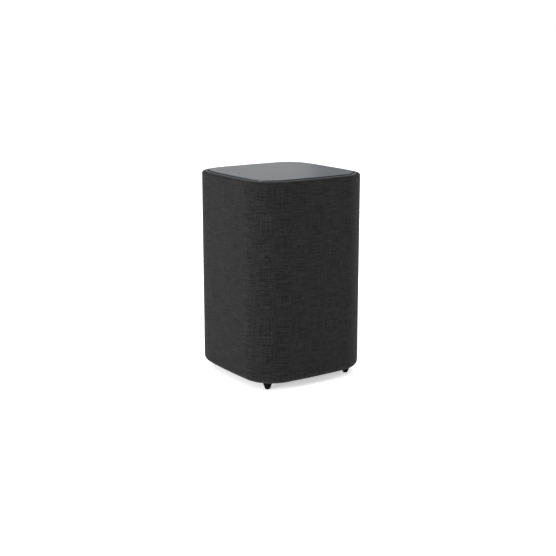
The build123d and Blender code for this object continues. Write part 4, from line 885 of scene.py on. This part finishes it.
def pad(node, name, axes, power):
    """A crowned pad in a node's box. The rows of axes are its width, its height and its thickness."""
    low, high = (np.array(corner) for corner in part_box(node))
    axes = np.array(axes, float)
    half = np.abs(axes @ (high - low)) / 2
    outline = rounded(SQUARE, [0, 1, 2, 3, 4], 97, power)
    section = rounded(HALF_SQUARE, [0, 1, 3, 4], 57, EDGE_POWER)
    flat = section[:, None, :1] * outline[None]
    flat = flat * (1 - PULL_IN * (1 - flat[..., ::-1] ** 2))
    place = flat * half[:2]
    wave = np.sin(LUMPS_ACROSS * place[..., 0]) * np.sin(LUMPS_UP * place[..., 1] + LUMPS_SHIFT)
    depth = section[:, None, 1] * half[2] * (1 - LUMPS + LUMPS * wave)
    local = np.concatenate([place, depth[..., None]], axis=-1)
    made = mesh_from_patches(name, [((low + high) / 2 + local @ axes, place)], WADDING)
    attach(made, "cabinet")
    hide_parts(node)
    return made


X, Y, Z = (1, 0, 0), (0, 1, 0), (0, 0, 1)
pads = [
    pad("front_wadding", "front_pad", (X, Z, (0, -1, 0)), 9),
    pad("left_wadding", "left_pad", ((0, -1, 0), Z, (-1, 0, 0)), 9),
    pad("right_wadding", "right_pad", (Y, Z, X), 9),
    pad("top_wadding", "top_pad", (X, Y, Z), 4.5),
]
print("pad faces:", [len(made.data.polygons) for made in pads])

# %% [markdown]
# ## The camera, the floor and the light
#
# The view is a long lens a little above the body, with the near corner left of the middle. The
# floor and the background are both plain and bright, so they run together. A very wide soft light
# comes from overhead. A tall soft light on the left and a weaker one on the right make the left
# face read lighter than the front, and a dim one low behind is mirrored in the top panel, which
# gives it a gentle gradient from left to right.

# %% Camera
def view_from(azimuth, elevation, distance, sideways, rise, lens):
    """A camera that looks along the line from (distance, azimuth, elevation) towards the object:
    it stands at distance times the backward direction, plus a step sideways and a rise."""
    a, e = math.radians(azimuth), math.radians(elevation)
    back = Vector((math.sin(a) * math.cos(e), -math.cos(a) * math.cos(e), math.sin(e)))
    right = Vector((math.cos(a), math.sin(a), 0.0))
    eye = back * distance + right * sideways + Vector((0.0, 0.0, rise))
    camera = bpy.data.objects.new("camera", bpy.data.cameras.new("camera"))
    camera.data.lens, camera.data.sensor_width = lens, 36.0
    camera.matrix_world = Matrix.Translation(eye) @ back.to_track_quat("Z", "Y").to_matrix().to_4x4()
    bpy.context.scene.collection.objects.link(camera)
    bpy.context.scene.camera = camera
    return camera


camera = view_from(-34.22, 13.03, 2006.2 * MM, -4.41 * MM, 172.46 * MM, 71.01)
print("camera at, m:", [round(c, 3) for c in camera.matrix_world.translation])


# %% Floor, background and lights
def facing(place, towards):
    """A placement at place whose -Z axis points towards another point."""
    turn = (Vector(place) - Vector(towards)).to_track_quat("Z", "Y")
    return Matrix.Translation(place) @ turn.to_matrix().to_4x4()


def lamp(name, kind, place, towards, energy, **settings):
    """A lamp of a kind at place, facing towards a point."""
    data = bpy.data.lights.new(name, kind)
    data.energy = energy
    for key, value in settings.items():
        setattr(data, key, value)
    made = bpy.data.objects.new(name, data)
    made.matrix_world = facing(place, towards)
    bpy.context.scene.collection.objects.link(made)
    return made


def studio_world(horizon, sky, low, high):
    """A white surround: horizon is its strength up to the height low, and sky its strength above
    high, where the height is the sine of the elevation. Seen directly, the surround is white."""
    world = bpy.data.worlds.new("studio")
    world.use_nodes = True
    tree = world.node_tree
    place = tree.nodes.new("ShaderNodeTexCoord")
    parts = tree.nodes.new("ShaderNodeSeparateXYZ")
    strength = tree.nodes.new("ShaderNodeMapRange")
    strength.interpolation_type = "SMOOTHSTEP"
    for key, value in (("From Min", low), ("From Max", high), ("To Min", horizon), ("To Max", sky)):
        strength.inputs[key].default_value = value
    tree.links.new(place.outputs["Generated"], parts.inputs[0])
    tree.links.new(parts.outputs["Z"], strength.inputs["Value"])
    seen = tree.nodes.new("ShaderNodeMath")
    seen.operation = "MAXIMUM"
    tree.links.new(strength.outputs[0], seen.inputs[0])
    tree.links.new(tree.nodes.new("ShaderNodeLightPath").outputs["Is Camera Ray"], seen.inputs[1])
    tree.links.new(seen.outputs[0], tree.nodes["Background"].inputs["Strength"])
    tree.nodes["Background"].inputs["Color"].default_value = (1.0, 1.0, 1.0, 1.0)
    return world


def pale_floor():
    """The floor's finish: pale paper with a barely seen mottle."""
    s = Shader("pale_floor", Specular_IOR_Level=0.0, Roughness=1.0)
    s.feed("Base Color", s.mix(s.noise(s.object_point(), 3.0, 2.0, 0.5), grey(0.93), grey(0.95)))
    s.surface.inputs["Emission Color"].default_value = grey(1.0)
    s.surface.inputs["Emission Strength"].default_value = 0.5
    return s.material


FLOOR_HALF = 60.0
corners = np.array([[-1, -1, 0], [1, -1, 0], [-1, 1, 0], [1, 1, 0]], float).reshape(2, 2, 3) * FLOOR_HALF
floor = mesh_from_patches("floor", [(corners, corners[..., :2])], pale_floor())

bpy.context.scene.world = studio_world(1.02, 0.27, 0.03, 0.11)
bpy.context.scene.view_settings.view_transform = "Standard"

MIDDLE = (0.0, 0.0, 0.2)
lamp("top_sun", "SUN", (0.0, 0.0, 2.0), (0.0, 0.0, 0.0), 2.5, angle=math.radians(120))
lamp("key_left", "AREA", (-2.3, -0.5, 0.6), MIDDLE, 56, shape="RECTANGLE", size=0.6, size_y=1.4)
lamp("fill_right", "AREA", (2.6, -0.6, 0.7), MIDDLE, 16, shape="RECTANGLE", size=1.2, size_y=1.2)
lamp("back_panel", "AREA", (1.35, 2.6, 0.8), MIDDLE, 0.62, shape="RECTANGLE", size=1.0, size_y=0.6)
